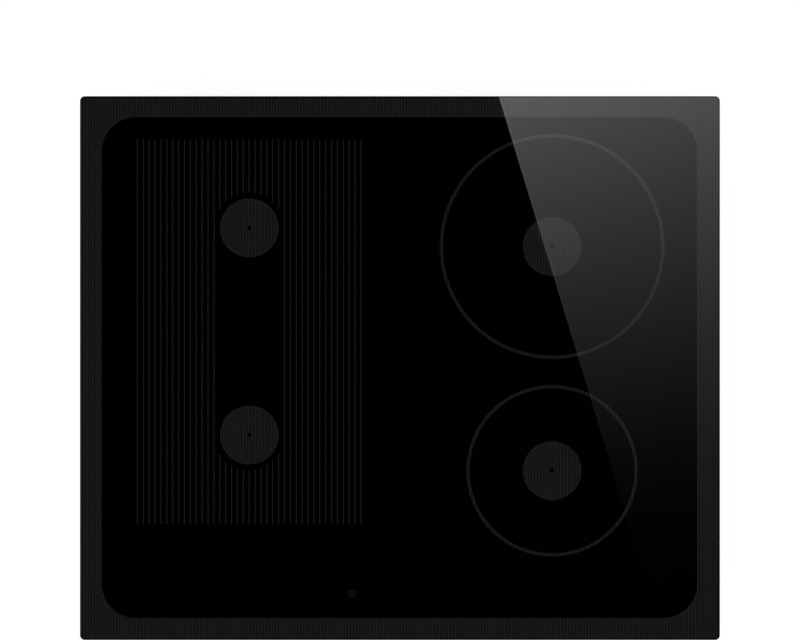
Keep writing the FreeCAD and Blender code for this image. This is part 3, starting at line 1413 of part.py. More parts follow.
# Enamel print: border, stripe field, zone rings, zone discs and the on/off symbol
marks = [plate("print_border", "dims.print_thickness", PRINT_BASE, [
    ("dims.glass_width - 2 * dims.print_edge", "dims.glass_depth - 2 * dims.print_edge",
     "dims.glass_corner - dims.print_edge"),
    ("dims.panel_width", "dims.panel_depth", "dims.panel_corner"),
])]


def flat_ring(name, outer, inner, x, y):
    """A printed ring between two radii."""
    body = new_body(name)
    sketch = new_sketch(body)
    circle(sketch, outer)
    circle(sketch, inner)
    pad(body, sketch, "dims.print_thickness")
    return place(body, x, y, PRINT_BASE)


for name, (side, x, y, straight, radius) in COILS.items():
    marks.append(flat_ring("print_disc", "dims.disc_diameter / 2", "dims.dot_diameter / 2", x, y))
    if straight is None:
        marks.append(flat_ring("print_ring", radius, f"{radius} - dims.ring_line", x, y))
marks.append(flat_ring("print_key", "dims.key_diameter / 2", "dims.key_diameter / 2 - dims.key_stroke",
                       "dims.key_x", "dims.key_y"))
marks.append(box("print_key_bar", "dims.key_stroke", "dims.key_diameter / 2 - dims.key_stroke",
                 "dims.print_thickness", "dims.key_x", "dims.key_y", PRINT_BASE))
keep_out = "(dims.disc_diameter / 2 + dims.stripe_disc_gap)"


def stripe(x, low, high):
    marks.append(box("print_stripe", "dims.stripe_width", f"({high}) - ({low})", "dims.print_thickness",
                     x, f"(({high}) + ({low})) / 2", PRINT_BASE))


for k in range(COUNTS["stripes"]):
    offset = f"(dims.stripe_field / (dims.stripes - 1) * {k - (COUNTS['stripes'] - 1) / 2})"
    x = f"dims.left_zone_x + {offset}"
    if abs(k - (COUNTS["stripes"] - 1) / 2) > COUNTS["bare_stripes"] / 2:
        stripe(x, "dims.stripe_front", "dims.stripe_back")
    else:
        reach = f"sqrt({keep_out} ^ 2 - {offset} ^ 2)"
        stripe(x, f"dims.left_back_y + {reach}", "dims.stripe_back")
        stripe(x, "dims.stripe_front", f"dims.left_front_y - {reach}")
group("zone_print", marks)

doc.recompute()
doc.removeObject(probe.Name)
for obj in doc.Objects:
    if "Invalid" in obj.State or "Error" in obj.State:
        raise RuntimeError(f"{obj.Label} did not build: {obj.State}")
for obj in SUBPARTS:
    if obj.Shape.isNull() or not obj.Shape.isValid():
        raise RuntimeError(f"{obj.Label} has no valid shape")
os.makedirs("parts", exist_ok=True)
for obj in SUBPARTS:
    obj.Shape.exportStep(f"parts/{obj.Label}.step")
print(len(SUBPARTS), "sub-parts written")
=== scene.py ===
import bpy
import bmesh
import json
import math
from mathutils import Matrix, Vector


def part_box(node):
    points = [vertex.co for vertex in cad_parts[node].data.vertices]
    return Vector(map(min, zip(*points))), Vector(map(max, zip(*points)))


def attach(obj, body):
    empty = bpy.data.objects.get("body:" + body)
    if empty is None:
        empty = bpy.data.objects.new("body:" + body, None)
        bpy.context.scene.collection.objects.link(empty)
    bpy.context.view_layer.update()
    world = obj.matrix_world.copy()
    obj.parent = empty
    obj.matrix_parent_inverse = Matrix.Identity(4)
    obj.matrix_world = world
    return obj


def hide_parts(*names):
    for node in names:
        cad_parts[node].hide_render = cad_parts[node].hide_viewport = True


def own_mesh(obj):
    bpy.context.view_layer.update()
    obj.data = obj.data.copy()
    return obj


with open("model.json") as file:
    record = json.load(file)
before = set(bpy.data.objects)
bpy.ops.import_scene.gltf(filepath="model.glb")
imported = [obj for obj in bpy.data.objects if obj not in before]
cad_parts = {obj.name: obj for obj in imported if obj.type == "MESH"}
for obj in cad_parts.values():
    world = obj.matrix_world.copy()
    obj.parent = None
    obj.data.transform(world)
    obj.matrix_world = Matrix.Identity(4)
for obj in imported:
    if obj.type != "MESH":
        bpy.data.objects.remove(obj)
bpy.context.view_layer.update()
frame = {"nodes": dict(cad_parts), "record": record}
nodes = frame["nodes"]
MM = 0.001
FULL_TURN, QUARTER_TURN = 2 * math.pi, math.pi / 2
WELD = 0.001 * MM

# Sizes read from the frame
GLASS_X, GLASS_Y, GLASS_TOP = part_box("glass_top")[1]
PRINT_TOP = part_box("zone_print")[1].z


def centre_of(node):
    low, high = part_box(node)
    return (low + high) / 2


def half_of(node):
    low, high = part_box(node)
    return (high - low) / 2


def solids_of(node):
    """The low and high corner of each separate solid of a node."""
    obj = nodes[node]
    bm = bmesh.new()
    bm.from_mesh(obj.data)
    bmesh.ops.remove_doubles(bm, verts=bm.verts, dist=WELD)
    left = set(bm.verts)
    boxes = []
    while left:
        island, edge = set(), [left.pop()]
        while edge:
            vert = edge.pop()
            island.add(vert)
            for link in vert.link_edges:
                other = link.other_vert(vert)
                if other in left:
                    left.discard(other)
                    edge.append(other)
        spots = [obj.matrix_world @ vert.co for vert in island]
        boxes.append((Vector([min(c[i] for c in spots) for i in range(3)]),
                      Vector([max(c[i] for c in spots) for i in range(3)])))
    bm.free()
    return boxes


# Nodes of the materials, with the sockets of a Mix node that mixes colours
MIX_FACTOR, MIX_FIRST, MIX_SECOND, MIX_RESULT = 0, 6, 7, 2
NOISE_DETAIL = 4.0
BAND_DISTORTION, BAND_DETAIL = 1.2, 1.0
DARK_UP_TO, PALE_FROM = 0.25, 0.75
BUMP_HEIGHT = 0.4 * MM


def grey(value):
    return (value, value, value, 1.0)


def rgb(colour):
    return (*colour, 1.0)


WHITE = grey(1.0)


def add(tree, kind, settings=None, **inputs):
    """A new node with its settings and the values of its inputs."""
    made = tree.nodes.new(kind)
    for key, value in (settings or {}).items():
        setattr(made, key, value)
    for key, value in inputs.items():
        made.inputs[key.replace("_", " ")].default_value = value
    return made


def feed(tree, socket, value):
    """Link an input to an output, or set the input's own value."""
    if isinstance(value, bpy.types.NodeSocket):
        tree.links.new(value, socket)
    else:
        socket.default_value = value


def math_node(tree, operation, *values):
    made = add(tree, "ShaderNodeMath", {"operation": operation})
    for socket, value in zip(made.inputs, values):
        feed(tree, socket, value)
    return made.outputs[0]


def mix_colours(tree, factor, first, second):
    made = add(tree, "ShaderNodeMix", {"data_type": "RGBA"})
    for index, value in ((MIX_FACTOR, factor), (MIX_FIRST, first), (MIX_SECOND, second)):
        feed(tree, made.inputs[index], value)
    return made.outputs[MIX_RESULT]


def new_material(name):
    mat = bpy.data.materials.new(name)
    mat.use_nodes = True
    return mat, mat.node_tree, mat.node_tree.nodes["Principled BSDF"]


def mapped(tree, vector, **inputs):
    """A vector after a mapping with the given scale or rotation."""
    made = add(tree, "ShaderNodeMapping", None, **inputs)
    tree.links.new(vector, made.inputs["Vector"])
    return made.outputs["Vector"]


def object_coords(tree, stretch=(1.0, 1.0, 1.0)):
    spot = add(tree, "ShaderNodeTexCoord")
    return mapped(tree, spot.outputs["Object"], Scale=stretch)


def red_of(tree, colour):
    pick = add(tree, "ShaderNodeSeparateColor")
    tree.links.new(colour, pick.inputs["Color"])
    return pick.outputs["Red"]


def pattern(tree, kind, vector, scale):
    """A grey texture of the given kind, as an output socket."""
    if kind == "noise":
        made = add(tree, "ShaderNodeTexNoise", Scale=scale, Detail=NOISE_DETAIL)
        out = made.outputs["Fac"]
    elif kind == "bands":
        made = add(tree, "ShaderNodeTexWave", {"bands_direction": "DIAGONAL"}, Scale=scale,
                   Distortion=BAND_DISTORTION, Detail=BAND_DETAIL)
        out = made.outputs["Fac"]
    else:
        feature = "DISTANCE_TO_EDGE" if kind == "cracks" else "F1"
        made = add(tree, "ShaderNodeTexVoronoi", {"feature": feature}, Scale=scale)
        out = red_of(tree, made.outputs["Color"]) if kind == "cells" else made.outputs["Distance"]
    tree.links.new(vector, made.inputs["Vector"])
    return out


def surface(name, dark, pale, rough, scale, kind="noise", stretch=(1.0, 1.0, 1.0),
            metallic=0.0, bump=0.0, bump_kind="noise", bump_scale=0.0, ior=1.5):
    """A finish whose colour, roughness and relief vary over the surface."""
    mat, tree, shader = new_material(name)
    vector = object_coords(tree, stretch)
    fac = pattern(tree, kind, vector, scale)
    ramp = add(tree, "ShaderNodeValToRGB")
    ends = ((DARK_UP_TO, dark), (PALE_FROM, pale))
    for element, (position, colour) in zip(ramp.color_ramp.elements, ends):
        element.position = position
        element.color = rgb(colour)
    tree.links.new(fac, ramp.inputs["Fac"])
    tree.links.new(ramp.outputs["Color"], shader.inputs["Base Color"])
    spread = add(tree, "ShaderNodeMapRange", None, To_Min=rough[0], To_Max=rough[1])
    tree.links.new(fac, spread.inputs["Value"])
    tree.links.new(spread.outputs["Result"], shader.inputs["Roughness"])
    shader.inputs["Metallic"].default_value = metallic
    shader.inputs["IOR"].default_value = ior
    if bump:
        relief = add(tree, "ShaderNodeBump", None, Strength=bump, Distance=BUMP_HEIGHT)
        tree.links.new(pattern(tree, bump_kind, vector, bump_scale), relief.inputs["Height"])
        tree.links.new(relief.outputs["Normal"], shader.inputs["Normal"])
    return mat


# Circuit boards: copper tracks under the solder mask, in areas that run along x or y. The shares
# are of a track unit, and a solder spot's is of the distance between spots.
TRACK_UNITS_PER_METRE = 30.0
TRACK_LENGTH_SHARE, TRACK_PITCH_SHARE = 1.3, 0.062
TRACK_GAP_SHARE, TRACK_STAGGER_SHARE = 0.009, 0.37
AREAS_PER_METRE, AREA_SPLIT = 42.0, 0.5
SPOTS_PER_METRE, SPOT_SHARE = 170.0, 0.16
MASK = (0.008, 0.060, 0.024)
TRACK_DARK, TRACK_PALE = (0.014, 0.098, 0.040), (0.019, 0.125, 0.052)
SOLDER = (0.55, 0.56, 0.55)
BOARD_ROUGHNESS = 0.32


def board_material(name):
    """Green solder mask with paler copper tracks under it and tinned solder spots."""
    mat, tree, shader = new_material(name)
    vector = object_coords(tree)
    ways = []
    for turn in (0.0, QUARTER_TURN):
        tracks = add(tree, "ShaderNodeTexBrick", {"offset": TRACK_STAGGER_SHARE},
                     Color1=rgb(TRACK_DARK), Color2=rgb(TRACK_PALE), Mortar=rgb(MASK),
                     Scale=TRACK_UNITS_PER_METRE, Mortar_Size=TRACK_GAP_SHARE,
                     Brick_Width=TRACK_LENGTH_SHARE, Row_Height=TRACK_PITCH_SHARE)
        turned = mapped(tree, vector, Rotation=(0.0, 0.0, turn))
        tree.links.new(turned, tracks.inputs["Vector"])
        ways.append(tracks.outputs["Color"])
    area = add(tree, "ShaderNodeTexVoronoi", {"feature": "F1", "distance": "CHEBYCHEV"},
               Scale=AREAS_PER_METRE)
    tree.links.new(vector, area.inputs["Vector"])
    which = math_node(tree, "LESS_THAN", red_of(tree, area.outputs["Color"]), AREA_SPLIT)
    copper = mix_colours(tree, which, *ways)
    spots = pattern(tree, "pores", vector, SPOTS_PER_METRE)
    tinned = math_node(tree, "LESS_THAN", spots, SPOT_SHARE)
    tree.links.new(mix_colours(tree, tinned, copper, rgb(SOLDER)), shader.inputs["Base Color"])
    tree.links.new(tinned, shader.inputs["Metallic"])
    shader.inputs["Roughness"].default_value = BOARD_ROUGHNESS
    return mat


# Each slot's finish: its dark and pale colour, its least and most roughness, and its patterns.
# A scale counts the pattern's cells or waves per metre.
LOOKS = {
    "black_glass": dict(
        dark=(0.0001, 0.0001, 0.0001), pale=(0.0003, 0.0003, 0.0003), rough=(0.004, 0.012),
        scale=9.0),
    "print_enamel": dict(
        dark=(0.0085, 0.0085, 0.0084), pale=(0.0100, 0.0100, 0.0099), rough=(0.004, 0.014),
        scale=60.0, ior=1.58),
    "foam_seal": dict(
        dark=(0.010, 0.010, 0.010), pale=(0.032, 0.032, 0.033), rough=(0.85, 0.98),
        scale=900.0, bump=0.9, bump_kind="pores", bump_scale=1100.0),
    "silicone": dict(
        dark=(0.06, 0.06, 0.064), pale=(0.085, 0.085, 0.09), rough=(0.35, 0.5),
        scale=150.0, bump=0.15, bump_scale=260.0),
    "galvanised_steel": dict(
        dark=(0.50, 0.505, 0.51), pale=(0.57, 0.575, 0.58), rough=(0.33, 0.42), metallic=1.0,
        kind="cells", scale=260.0, bump=0.04, bump_scale=900.0),
    "spring_steel": dict(
        dark=(0.40, 0.40, 0.39), pale=(0.56, 0.56, 0.55), rough=(0.26, 0.40), metallic=1.0,
        scale=60.0, stretch=(1.0, 1.0, 24.0), bump=0.06, bump_scale=500.0),
    "screw_steel": dict(
        dark=(0.52, 0.53, 0.55), pale=(0.70, 0.71, 0.72), rough=(0.18, 0.34), metallic=1.0,
        scale=380.0, bump=0.05, bump_scale=1500.0),
    "aluminium": dict(
        dark=(0.62, 0.63, 0.64), pale=(0.80, 0.81, 0.82), rough=(0.28, 0.42), metallic=1.0,
        scale=36.0, stretch=(1.0, 30.0, 30.0), bump=0.08, bump_scale=240.0),
    "black_plastic": dict(
        dark=(0.016, 0.016, 0.017), pale=(0.030, 0.030, 0.032), rough=(0.48, 0.62),
        scale=420.0, bump=0.3, bump_kind="pores", bump_scale=1600.0),
    "white_plastic": dict(
        dark=(0.58, 0.58, 0.55), pale=(0.68, 0.68, 0.65), rough=(0.40, 0.55),
        scale=300.0, bump=0.15, bump_scale=1400.0),
    "former_plastic": dict(
        dark=(0.045, 0.045, 0.047), pale=(0.070, 0.070, 0.072), rough=(0.50, 0.64),
        scale=380.0, bump=0.25, bump_kind="pores", bump_scale=1400.0),
    "copper_litz": dict(
        dark=(0.30, 0.10, 0.04), pale=(0.66, 0.30, 0.15), rough=(0.24, 0.42), metallic=1.0,
        kind="bands", scale=160.0, bump=0.6, bump_kind="bands", bump_scale=420.0),
    "ferrite": dict(
        dark=(0.030, 0.030, 0.032), pale=(0.062, 0.062, 0.066), rough=(0.50, 0.75),
        scale=700.0, bump=0.3, bump_scale=1700.0),
    "mica": dict(
        dark=(0.36, 0.31, 0.23), pale=(0.62, 0.57, 0.46), rough=(0.30, 0.60),
        kind="cells", scale=210.0, bump=0.25, bump_kind="cracks", bump_scale=210.0),
    "sensor_silicone": dict(
        dark=(0.36, 0.07, 0.05), pale=(0.52, 0.12, 0.08), rough=(0.5, 0.65),
        scale=300.0, bump=0.2, bump_scale=900.0),
    "component_black": dict(
        dark=(0.014, 0.014, 0.015), pale=(0.028, 0.028, 0.030), rough=(0.34, 0.52),
        scale=500.0, bump=0.25, bump_scale=2200.0),
    "component_blue": dict(
        dark=(0.030, 0.085, 0.24), pale=(0.055, 0.13, 0.34), rough=(0.20, 0.36),
        scale=160.0, bump=0.08, bump_scale=600.0),
    "component_grey": dict(
        dark=(0.13, 0.13, 0.13), pale=(0.21, 0.21, 0.21), rough=(0.32, 0.5),
        scale=260.0, bump=0.15, bump_scale=1200.0),
    "choke_wire": dict(
        dark=(0.24, 0.08, 0.025), pale=(0.60, 0.26, 0.10), rough=(0.22, 0.38), metallic=1.0,
        kind="bands", scale=130.0, bump=0.7, bump_kind="bands", bump_scale=130.0),
    "conductive_foam": dict(
        dark=(0.035, 0.035, 0.035), pale=(0.075, 0.075, 0.075), rough=(0.8, 0.95),
        scale=900.0, bump=0.7, bump_kind="pores", bump_scale=1200.0),
    "display_window": dict(
        dark=(0.018, 0.006, 0.006), pale=(0.034, 0.012, 0.012), rough=(0.08, 0.16),
        scale=120.0),
}
FINISHES = {name: surface(name, **look) for name, look in LOOKS.items()}
FINISHES["circuit_board"] = board_material("circuit_board")
SLOT_OF = {row["node"]: row["material_slot"] for row in frame["record"]["subparts"]}
for name, obj in nodes.items():
    obj.data.materials.clear()
    obj.data.materials.append(FINISHES[SLOT_OF[name]])


# Meshes of the new pieces
def circle(bm, x0, y0, z, radius, sides):
    turns = [FULL_TURN * k / sides for k in range(sides)]
    return [bm.verts.new((x0 + radius * math.cos(t), y0 + radius * math.sin(t), z))
            for t in turns]


def skin(bm, rings, looped=False):
    """Faces from ring to ring. The last ring joins the first, or both ends are closed."""
    for here, following in zip(rings, rings[1:] + rings[:1] if looped else rings[1:]):
        for k in range(len(here)):
            n = (k + 1) % len(here)
            bm.faces.new((here[k], here[n], following[n], following[k]))
    if not looped:
        bm.faces.new(rings[0][::-1])
        bm.faces.new(rings[-1])


def mesh_piece(name, bm, smooth=False):
    bm.normal_update()
    mesh = bpy.data.meshes.new(name)
    bm.to_mesh(mesh)
    bm.free()
    for face in mesh.polygons:
        face.use_smooth = smooth
    piece = bpy.data.objects.new(name, mesh)
    bpy.context.scene.collection.objects.link(piece)
    return piece


def finish_piece(piece, slot, node):
    """Put a new piece on the casing in a node's stead, with the finish of a record's slot."""
    piece.data.materials.append(FINISHES[slot])
    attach(piece, "casing")
    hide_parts(node)


# Print on the glass: insets from the glass's sides, then sizes
SIDES = ("left", "right", "front", "back")
PRINT_EDGE = dict(zip(SIDES, (0.8 * MM, 1.75 * MM, 1.35 * MM, 1.5 * MM)))
BORDER = dict(zip(SIDES, (20.4 * MM, 21.4 * MM, 20.8 * MM, 19.8 * MM)))
PANEL_CORNER = 32.0 * MM
PRINT_CORNER = 3.3 * MM
HATCH_PITCH = 2.9237 * MM
HATCH_LINE = 2.46 * MM
HATCH_PHASE = 1.826 * MM  # x of the middle of one line
DISC_RADIUS = 27.5 * MM
DISC_LINE = 0.9 * MM
DOT_RADIUS = 1.95 * MM
RING_LINE = 3.1 * MM
RING_PROUD = 0.4 * MM  # past the side of the coil's former
PRINT_SHIFT = -0.35 * MM  # of the right zones and the symbol, along x
STRIPES, BARE_STRIPES = 39, 11  # the bare ones stop short of the discs
STRIPE_WIDTH = 0.97 * MM
STRIPE_SHIFT = -0.15 * MM
STRIPE_SIDE_INSET = 0.18 * MM  # from the formers' sides
STRIPE_INSET = 6.7 * MM  # from the formers' front and back
STRIPE_DISC_GAP = 5.5 * MM
KEY_RADIUS = 3.5 * MM
KEY_STROKE = 1.15 * MM
PADS_BEFORE_KEY = 4
ARC_STEPS = 96
LINE_STEPS = 8
LEAST_EDGE = 0.001 * MM
LEAST_BEND = 1e-8 * MM * MM
LEAST_LINE = 0.02 * MM
ZONES = {end: (centre_of("coil_former_" + end), half_of("coil_former_" + end))
         for end in ("left_back", "left_front", "right_back", "right_front")}


def corners_of(outline):
    """A closed outline's points, without repeated ones and those along a straight run."""
    outline = [spot for k, spot in enumerate(outline)
               if math.dist(spot, outline[k - 1]) > LEAST_EDGE]
    kept = []
    for before, (x, y), after in zip(outline[-1:] + outline, outline, outline[1:] + outline[:1]):
        bend = (x - before[0]) * (after[1] - y) - (y - before[1]) * (after[0] - x)
        if abs(bend) > LEAST_BEND:
            kept.append((x, y))
    return kept


def prism(bm, outline):
    """A thin closed plate of enamel on the glass over a closed outline."""
    outline = corners_of(outline)
    skin(bm, [[bm.verts.new((x, y, z)) for x, y in outline] for z in (GLASS_TOP, PRINT_TOP)])


def plain_line(bm, x, low, high, width):
    left, right = x - width / 2, x + width / 2
    prism(bm, [(left, low), (right, low), (right, high), (left, high)])


def closed_ring(bm, x0, y0, outer, inner):
    """A printed line all round a circle, as one band."""
    section = ((inner, GLASS_TOP), (outer, GLASS_TOP), (outer, PRINT_TOP), (inner, PRINT_TOP))
    skin(bm, [circle(bm, x0, y0, z, r, ARC_STEPS) for r, z in section], looped=True)


def glass_inset(inset):
    """The left, right, front and back limit of an area inset from the glass's sides."""
    return (inset["left"] - GLASS_X, GLASS_X - inset["right"],
            inset["front"] - GLASS_Y, GLASS_Y - inset["back"])


def area_edges(limits, radius):
    """The front and back edge of a round-cornered area, as functions of x."""
    left, right, front, back = limits

    def drop(x):
        past = max(0.0, min(radius, max(left + radius - x, x - (right - radius))))
        return radius - math.sqrt(radius * radius - past * past)
    return (lambda x: front + drop(x)), (lambda x: back - drop(x))


def circle_edges(x0, y0, radius):
    """The front and back edge of a circle, as functions of x."""
    def reach(x):
        return math.sqrt(max(0.0, radius * radius - (x - x0) ** 2))
    return (lambda x: y0 - reach(x)), (lambda x: y0 + reach(x))


def hatch_lines(left, right):
    """The two sides of each of the hatch's lines between two x values."""
    first = math.floor((left - HATCH_PHASE) / HATCH_PITCH) - 1
    last = math.ceil((right - HATCH_PHASE) / HATCH_PITCH) + 1
    for k in range(first, last + 1):
        middle = HATCH_PHASE + k * HATCH_PITCH
        start, end = max(left, middle - HATCH_LINE / 2), min(right, middle + HATCH_LINE / 2)
        if end - start > LEAST_LINE:
            yield start, end


def line_steps(start, end, bends):
    """The x values at which a line's ends are drawn, with the bends among them."""
    stops = [start] + sorted(x for x in bends if start < x < end) + [end]
    steps = [start]
    for a, b in zip(stops, stops[1:]):
        steps += [a + (b - a) * k / LINE_STEPS for k in range(1, LINE_STEPS)] + [b]
    return steps


def along(edge, steps):
    return [(x, edge(x)) for x in steps]


def line_round_hole(bm, steps, outer, inner, hole):
    """One line of an area with a hole, from the edges of both and the hole's x limits."""
    back_way = steps[::-1]
    inside = [x for x in steps if hole[0] <= x <= hole[1]]
    front, back = along(outer[0], steps), along(outer[1], back_way)
    if len(inside) < 2:
        prism(bm, front + back)
    elif len(inside) == len(steps):
        prism(bm, front + along(inner[0], back_way))
        prism(bm, along(inner[1], steps) + back)
    elif steps[0] < hole[0]:
        prism(bm, front + along(inner[0], inside[::-1]) + along(inner[1], inside) + back)
    else:
        prism(bm, front + back + along(inner[1], inside) + along(inner[0], inside[::-1]))


def hatched_ring(bm, x0, y0, outer, inner):
    """The hatch inside a ring."""
    hole = (x0 - inner, x0 + inner)
    outer_edges, inner_edges = circle_edges(x0, y0, outer), circle_edges(x0, y0, inner)
    for start, end in hatch_lines(x0 - outer, x0 + outer):
        line_round_hole(bm, line_steps(start, end, hole), outer_edges, inner_edges, hole)


def draw_border(bm):
    """The hatched border round the plain panel."""
    border, panel = glass_inset(PRINT_EDGE), glass_inset(BORDER)
    outer_edges, inner_edges = area_edges(border, PRINT_CORNER), area_edges(panel, PANEL_CORNER)
    (left, right), hole = border[:2], panel[:2]
    straight = (hole[0] + PANEL_CORNER, hole[1] - PANEL_CORNER)
    bends = (left + PRINT_CORNER, *hole, *straight, right - PRINT_CORNER)
    for start, end in hatch_lines(left, right):
        plain = straight[0] < start and end < straight[1]
        steps = [start, end] if plain else line_steps(start, end, bends)
        line_round_hole(bm, steps, outer_edges, inner_edges, hole)


def draw_zones(bm):
    """A hatched disc over each coil, and a ring round each of the right ones."""
    for end, (spot, half) in ZONES.items():
        ringed = end.startswith("right")
        x = spot.x + (PRINT_SHIFT if ringed else 0.0)
        hatched_ring(bm, x, spot.y, DISC_RADIUS - DISC_LINE, DOT_RADIUS)
        closed_ring(bm, x, spot.y, DISC_RADIUS, DISC_RADIUS - DISC_LINE)
        if ringed:
            outer = half.x + RING_PROUD
            hatched_ring(bm, x, spot.y, outer, outer - RING_LINE)


def draw_stripes(bm):
    """The field of stripes on the left, whose middle ones stop short of the discs."""
    (back, half), (front, _) = ZONES["left_back"], ZONES["left_front"]
    stripe_back = back.y + half.y - STRIPE_INSET
    stripe_front = front.y - half.y + STRIPE_INSET
    keep_out = DISC_RADIUS + STRIPE_DISC_GAP
    for k in range(STRIPES):
        step = k - (STRIPES - 1) / 2
        offset = 2 * (half.x - STRIPE_SIDE_INSET) / (STRIPES - 1) * step
        x = back.x + STRIPE_SHIFT + offset
        if abs(step) > BARE_STRIPES / 2:
            plain_line(bm, x, stripe_front, stripe_back, STRIPE_WIDTH)
        else:
            reach = math.sqrt(keep_out ** 2 - offset ** 2)
            plain_line(bm, x, back.y + reach, stripe_back, STRIPE_WIDTH)
            plain_line(bm, x, stripe_front, front.y - reach, STRIPE_WIDTH)


def draw_key(bm):
    """The on/off symbol, over its touch pad."""
    pads = ((low + high) / 2 for low, high in solids_of("touch_pads"))
    spot = sorted(pads, key=lambda pad: pad.x)[PADS_BEFORE_KEY]
    x, bar = spot.x + PRINT_SHIFT, (KEY_RADIUS - KEY_STROKE) / 2
    closed_ring(bm, x, spot.y, KEY_RADIUS, KEY_RADIUS - KEY_STROKE)
    plain_line(bm, x, spot.y - bar, spot.y + bar, KEY_STROKE)


bm = bmesh.new()
draw_border(bm)
draw_zones(bm)
draw_stripes(bm)
draw_key(bm)
finish_piece(mesh_piece("enamel_print", bm), "print_enamel", "zone_print")

# Soft strips under the glass
SEAL_WIDTH, SEAL_CORNER, SEAL_ROUND_SHARE = 8.0 * MM, 4.5 * MM, 0.28
BEAD_WIDTH, BEAD_CORNER, BEAD_ROUND_SHARE = 6.0 * MM, 6.9 * MM, 0.45
LEAST_CORNER = 1.5 * MM
CORNER_STEPS = 8
SECTION_STEPS = 4


def loop_points(half_x, half_y, radius):
    """Points round a round-cornered rectangle."""
    points = []
    for k, (a, b) in enumerate(((1, 1), (-1, 1), (-1, -1), (1, -1))):
        for j in range(CORNER_STEPS + 1):
            turn = QUARTER_TURN * (k + j / CORNER_STEPS)
            points.append((a * (half_x - radius) + radius * math.cos(turn),
                           b * (half_y - radius) + radius * math.sin(turn)))
    return points


def soft_strip(name, node, width, corner, round_share):
    """A strip with rounded edges, all round under the glass."""
    low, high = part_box(node)
    tall = high.z - low.z
    radius = tall * round_share
    section = []
    for k, (u, v) in enumerate(((1, 1), (0, 1), (0, 0), (1, 0))):
        inset = radius + (width - 2 * radius) * u
        level = low.z + radius + (tall - 2 * radius) * v
        for j in range(SECTION_STEPS + 1):
            turn = QUARTER_TURN * (k + j / SECTION_STEPS)
            section.append((inset + radius * math.cos(turn), level + radius * math.sin(turn)))
    bm = bmesh.new()
    rings = []
    for inset, z in section:
        points = loop_points(high.x - inset, high.y - inset, max(corner - inset, LEAST_CORNER))
        rings.append([bm.verts.new((x, y, z)) for x, y in points])
    skin(bm, rings, looped=True)
    bmesh.ops.recalc_face_normals(bm, faces=bm.faces)
    return mesh_piece(name, bm, smooth=True)


seal = soft_strip("foam_strip", "edge_seal", SEAL_WIDTH, SEAL_CORNER, SEAL_ROUND_SHARE)
finish_piece(seal, "foam_seal", "edge_seal")
bead = soft_strip("silicone_bead", "bond_bead", BEAD_WIDTH, BEAD_CORNER, BEAD_ROUND_SHARE)
finish_piece(bead, "silicone", "bond_bead")

# Foam pads between the touch board and the glass
PAD_SIDES = 40
PAD_ROWS = 12
PAD_SWELL_SHARE = 0.09
PAD_RIM = 0.5 * MM
RIM_STEPS = 4


def foam_pad(bm, low, high):
    """A round foam pad, pressed so that its side swells, with rounded rims."""
    spot, radius, tall = (low + high) / 2, (high.x - low.x) / 2, high.z - low.z
    end, side_tall = radius * (1 - PAD_SWELL_SHARE), tall - 2 * PAD_RIM
    swell = radius - end
    rim = [(end - PAD_RIM + PAD_RIM * math.sin(a), PAD_RIM - PAD_RIM * math.cos(a))
           for a in (QUARTER_TURN * j / RIM_STEPS for j in range(RIM_STEPS))]
    side = [(end + swell * math.sin(math.pi * k / PAD_ROWS), PAD_RIM + side_tall * k / PAD_ROWS)
            for k in range(PAD_ROWS + 1)]
    profile = rim + side + [(r, tall - h) for r, h in reversed(rim)]
    skin(bm, [circle(bm, spot.x, spot.y, low.z + h, r, PAD_SIDES) for r, h in profile])


bm = bmesh.new()
for low, high in solids_of("touch_pads"):
    foam_pad(bm, low, high)
pads = mesh_piece("foam_pads", bm, smooth=True)
finish_piece(pads, "conductive_foam", "touch_pads")

# Frame screws with cross recesses
SCREW_HEAD = 2.0 * MM
SCREW_SHANK = 1.8 * MM
SCREW_TOP = 2.4 * MM
DOME_STEPS = 5
RECESS_REACH = 1.75 * MM
RECESS_HALF = 0.45 * MM
RECESS_DEPTH = 1.1 * MM
RECESS_TAPER_SHARE = 0.55
LEAST_COSINE = 1e-9


def cross_reach(turn):
    """How far the cross recess reaches from its centre in one direction."""
    c, s = max(abs(math.cos(turn)), LEAST_COSINE), max(abs(math.sin(turn)), LEAST_COSINE)
    return max(min(RECESS_REACH / c, RECESS_HALF / s), min(RECESS_HALF / c, RECESS_REACH / s))


def cross_screw(bm, foot, way, rim, length):
    """A pan-head screw on a wall at foot, its head along way, with a cross recess."""
    side = Vector((0, 0, 1))
    across = way.cross(side)
    corner, eighth = math.atan2(RECESS_HALF, RECESS_REACH), QUARTER_TURN / 2
    quarter = [0.0, corner / 2, corner, (corner + eighth) / 2, eighth]
    quarter += [QUARTER_TURN - a for a in quarter[3:0:-1]]
    turns = [a + k * QUARTER_TURN for k in range(4) for a in quarter]
    rows = [(SCREW_SHANK, -length), (SCREW_SHANK, 0.0)]
    for j in range(DOME_STEPS + 1):
        a = QUARTER_TURN * j / DOME_STEPS
        rows.append((rim - (rim - SCREW_TOP) * (1 - math.cos(a)), SCREW_HEAD * math.sin(a)))
    outlines = [([r] * len(turns), h) for r, h in rows]
    for share, h in ((1.0, SCREW_HEAD), (RECESS_TAPER_SHARE, SCREW_HEAD - RECESS_DEPTH)):
        outlines.append(([share * cross_reach(a) for a in turns], h))
    skin(bm, [[bm.verts.new(foot + across * (r * math.cos(a)) + side * (r * math.sin(a)) + way * h)
               for a, r in zip(turns, reach)] for reach, h in outlines])


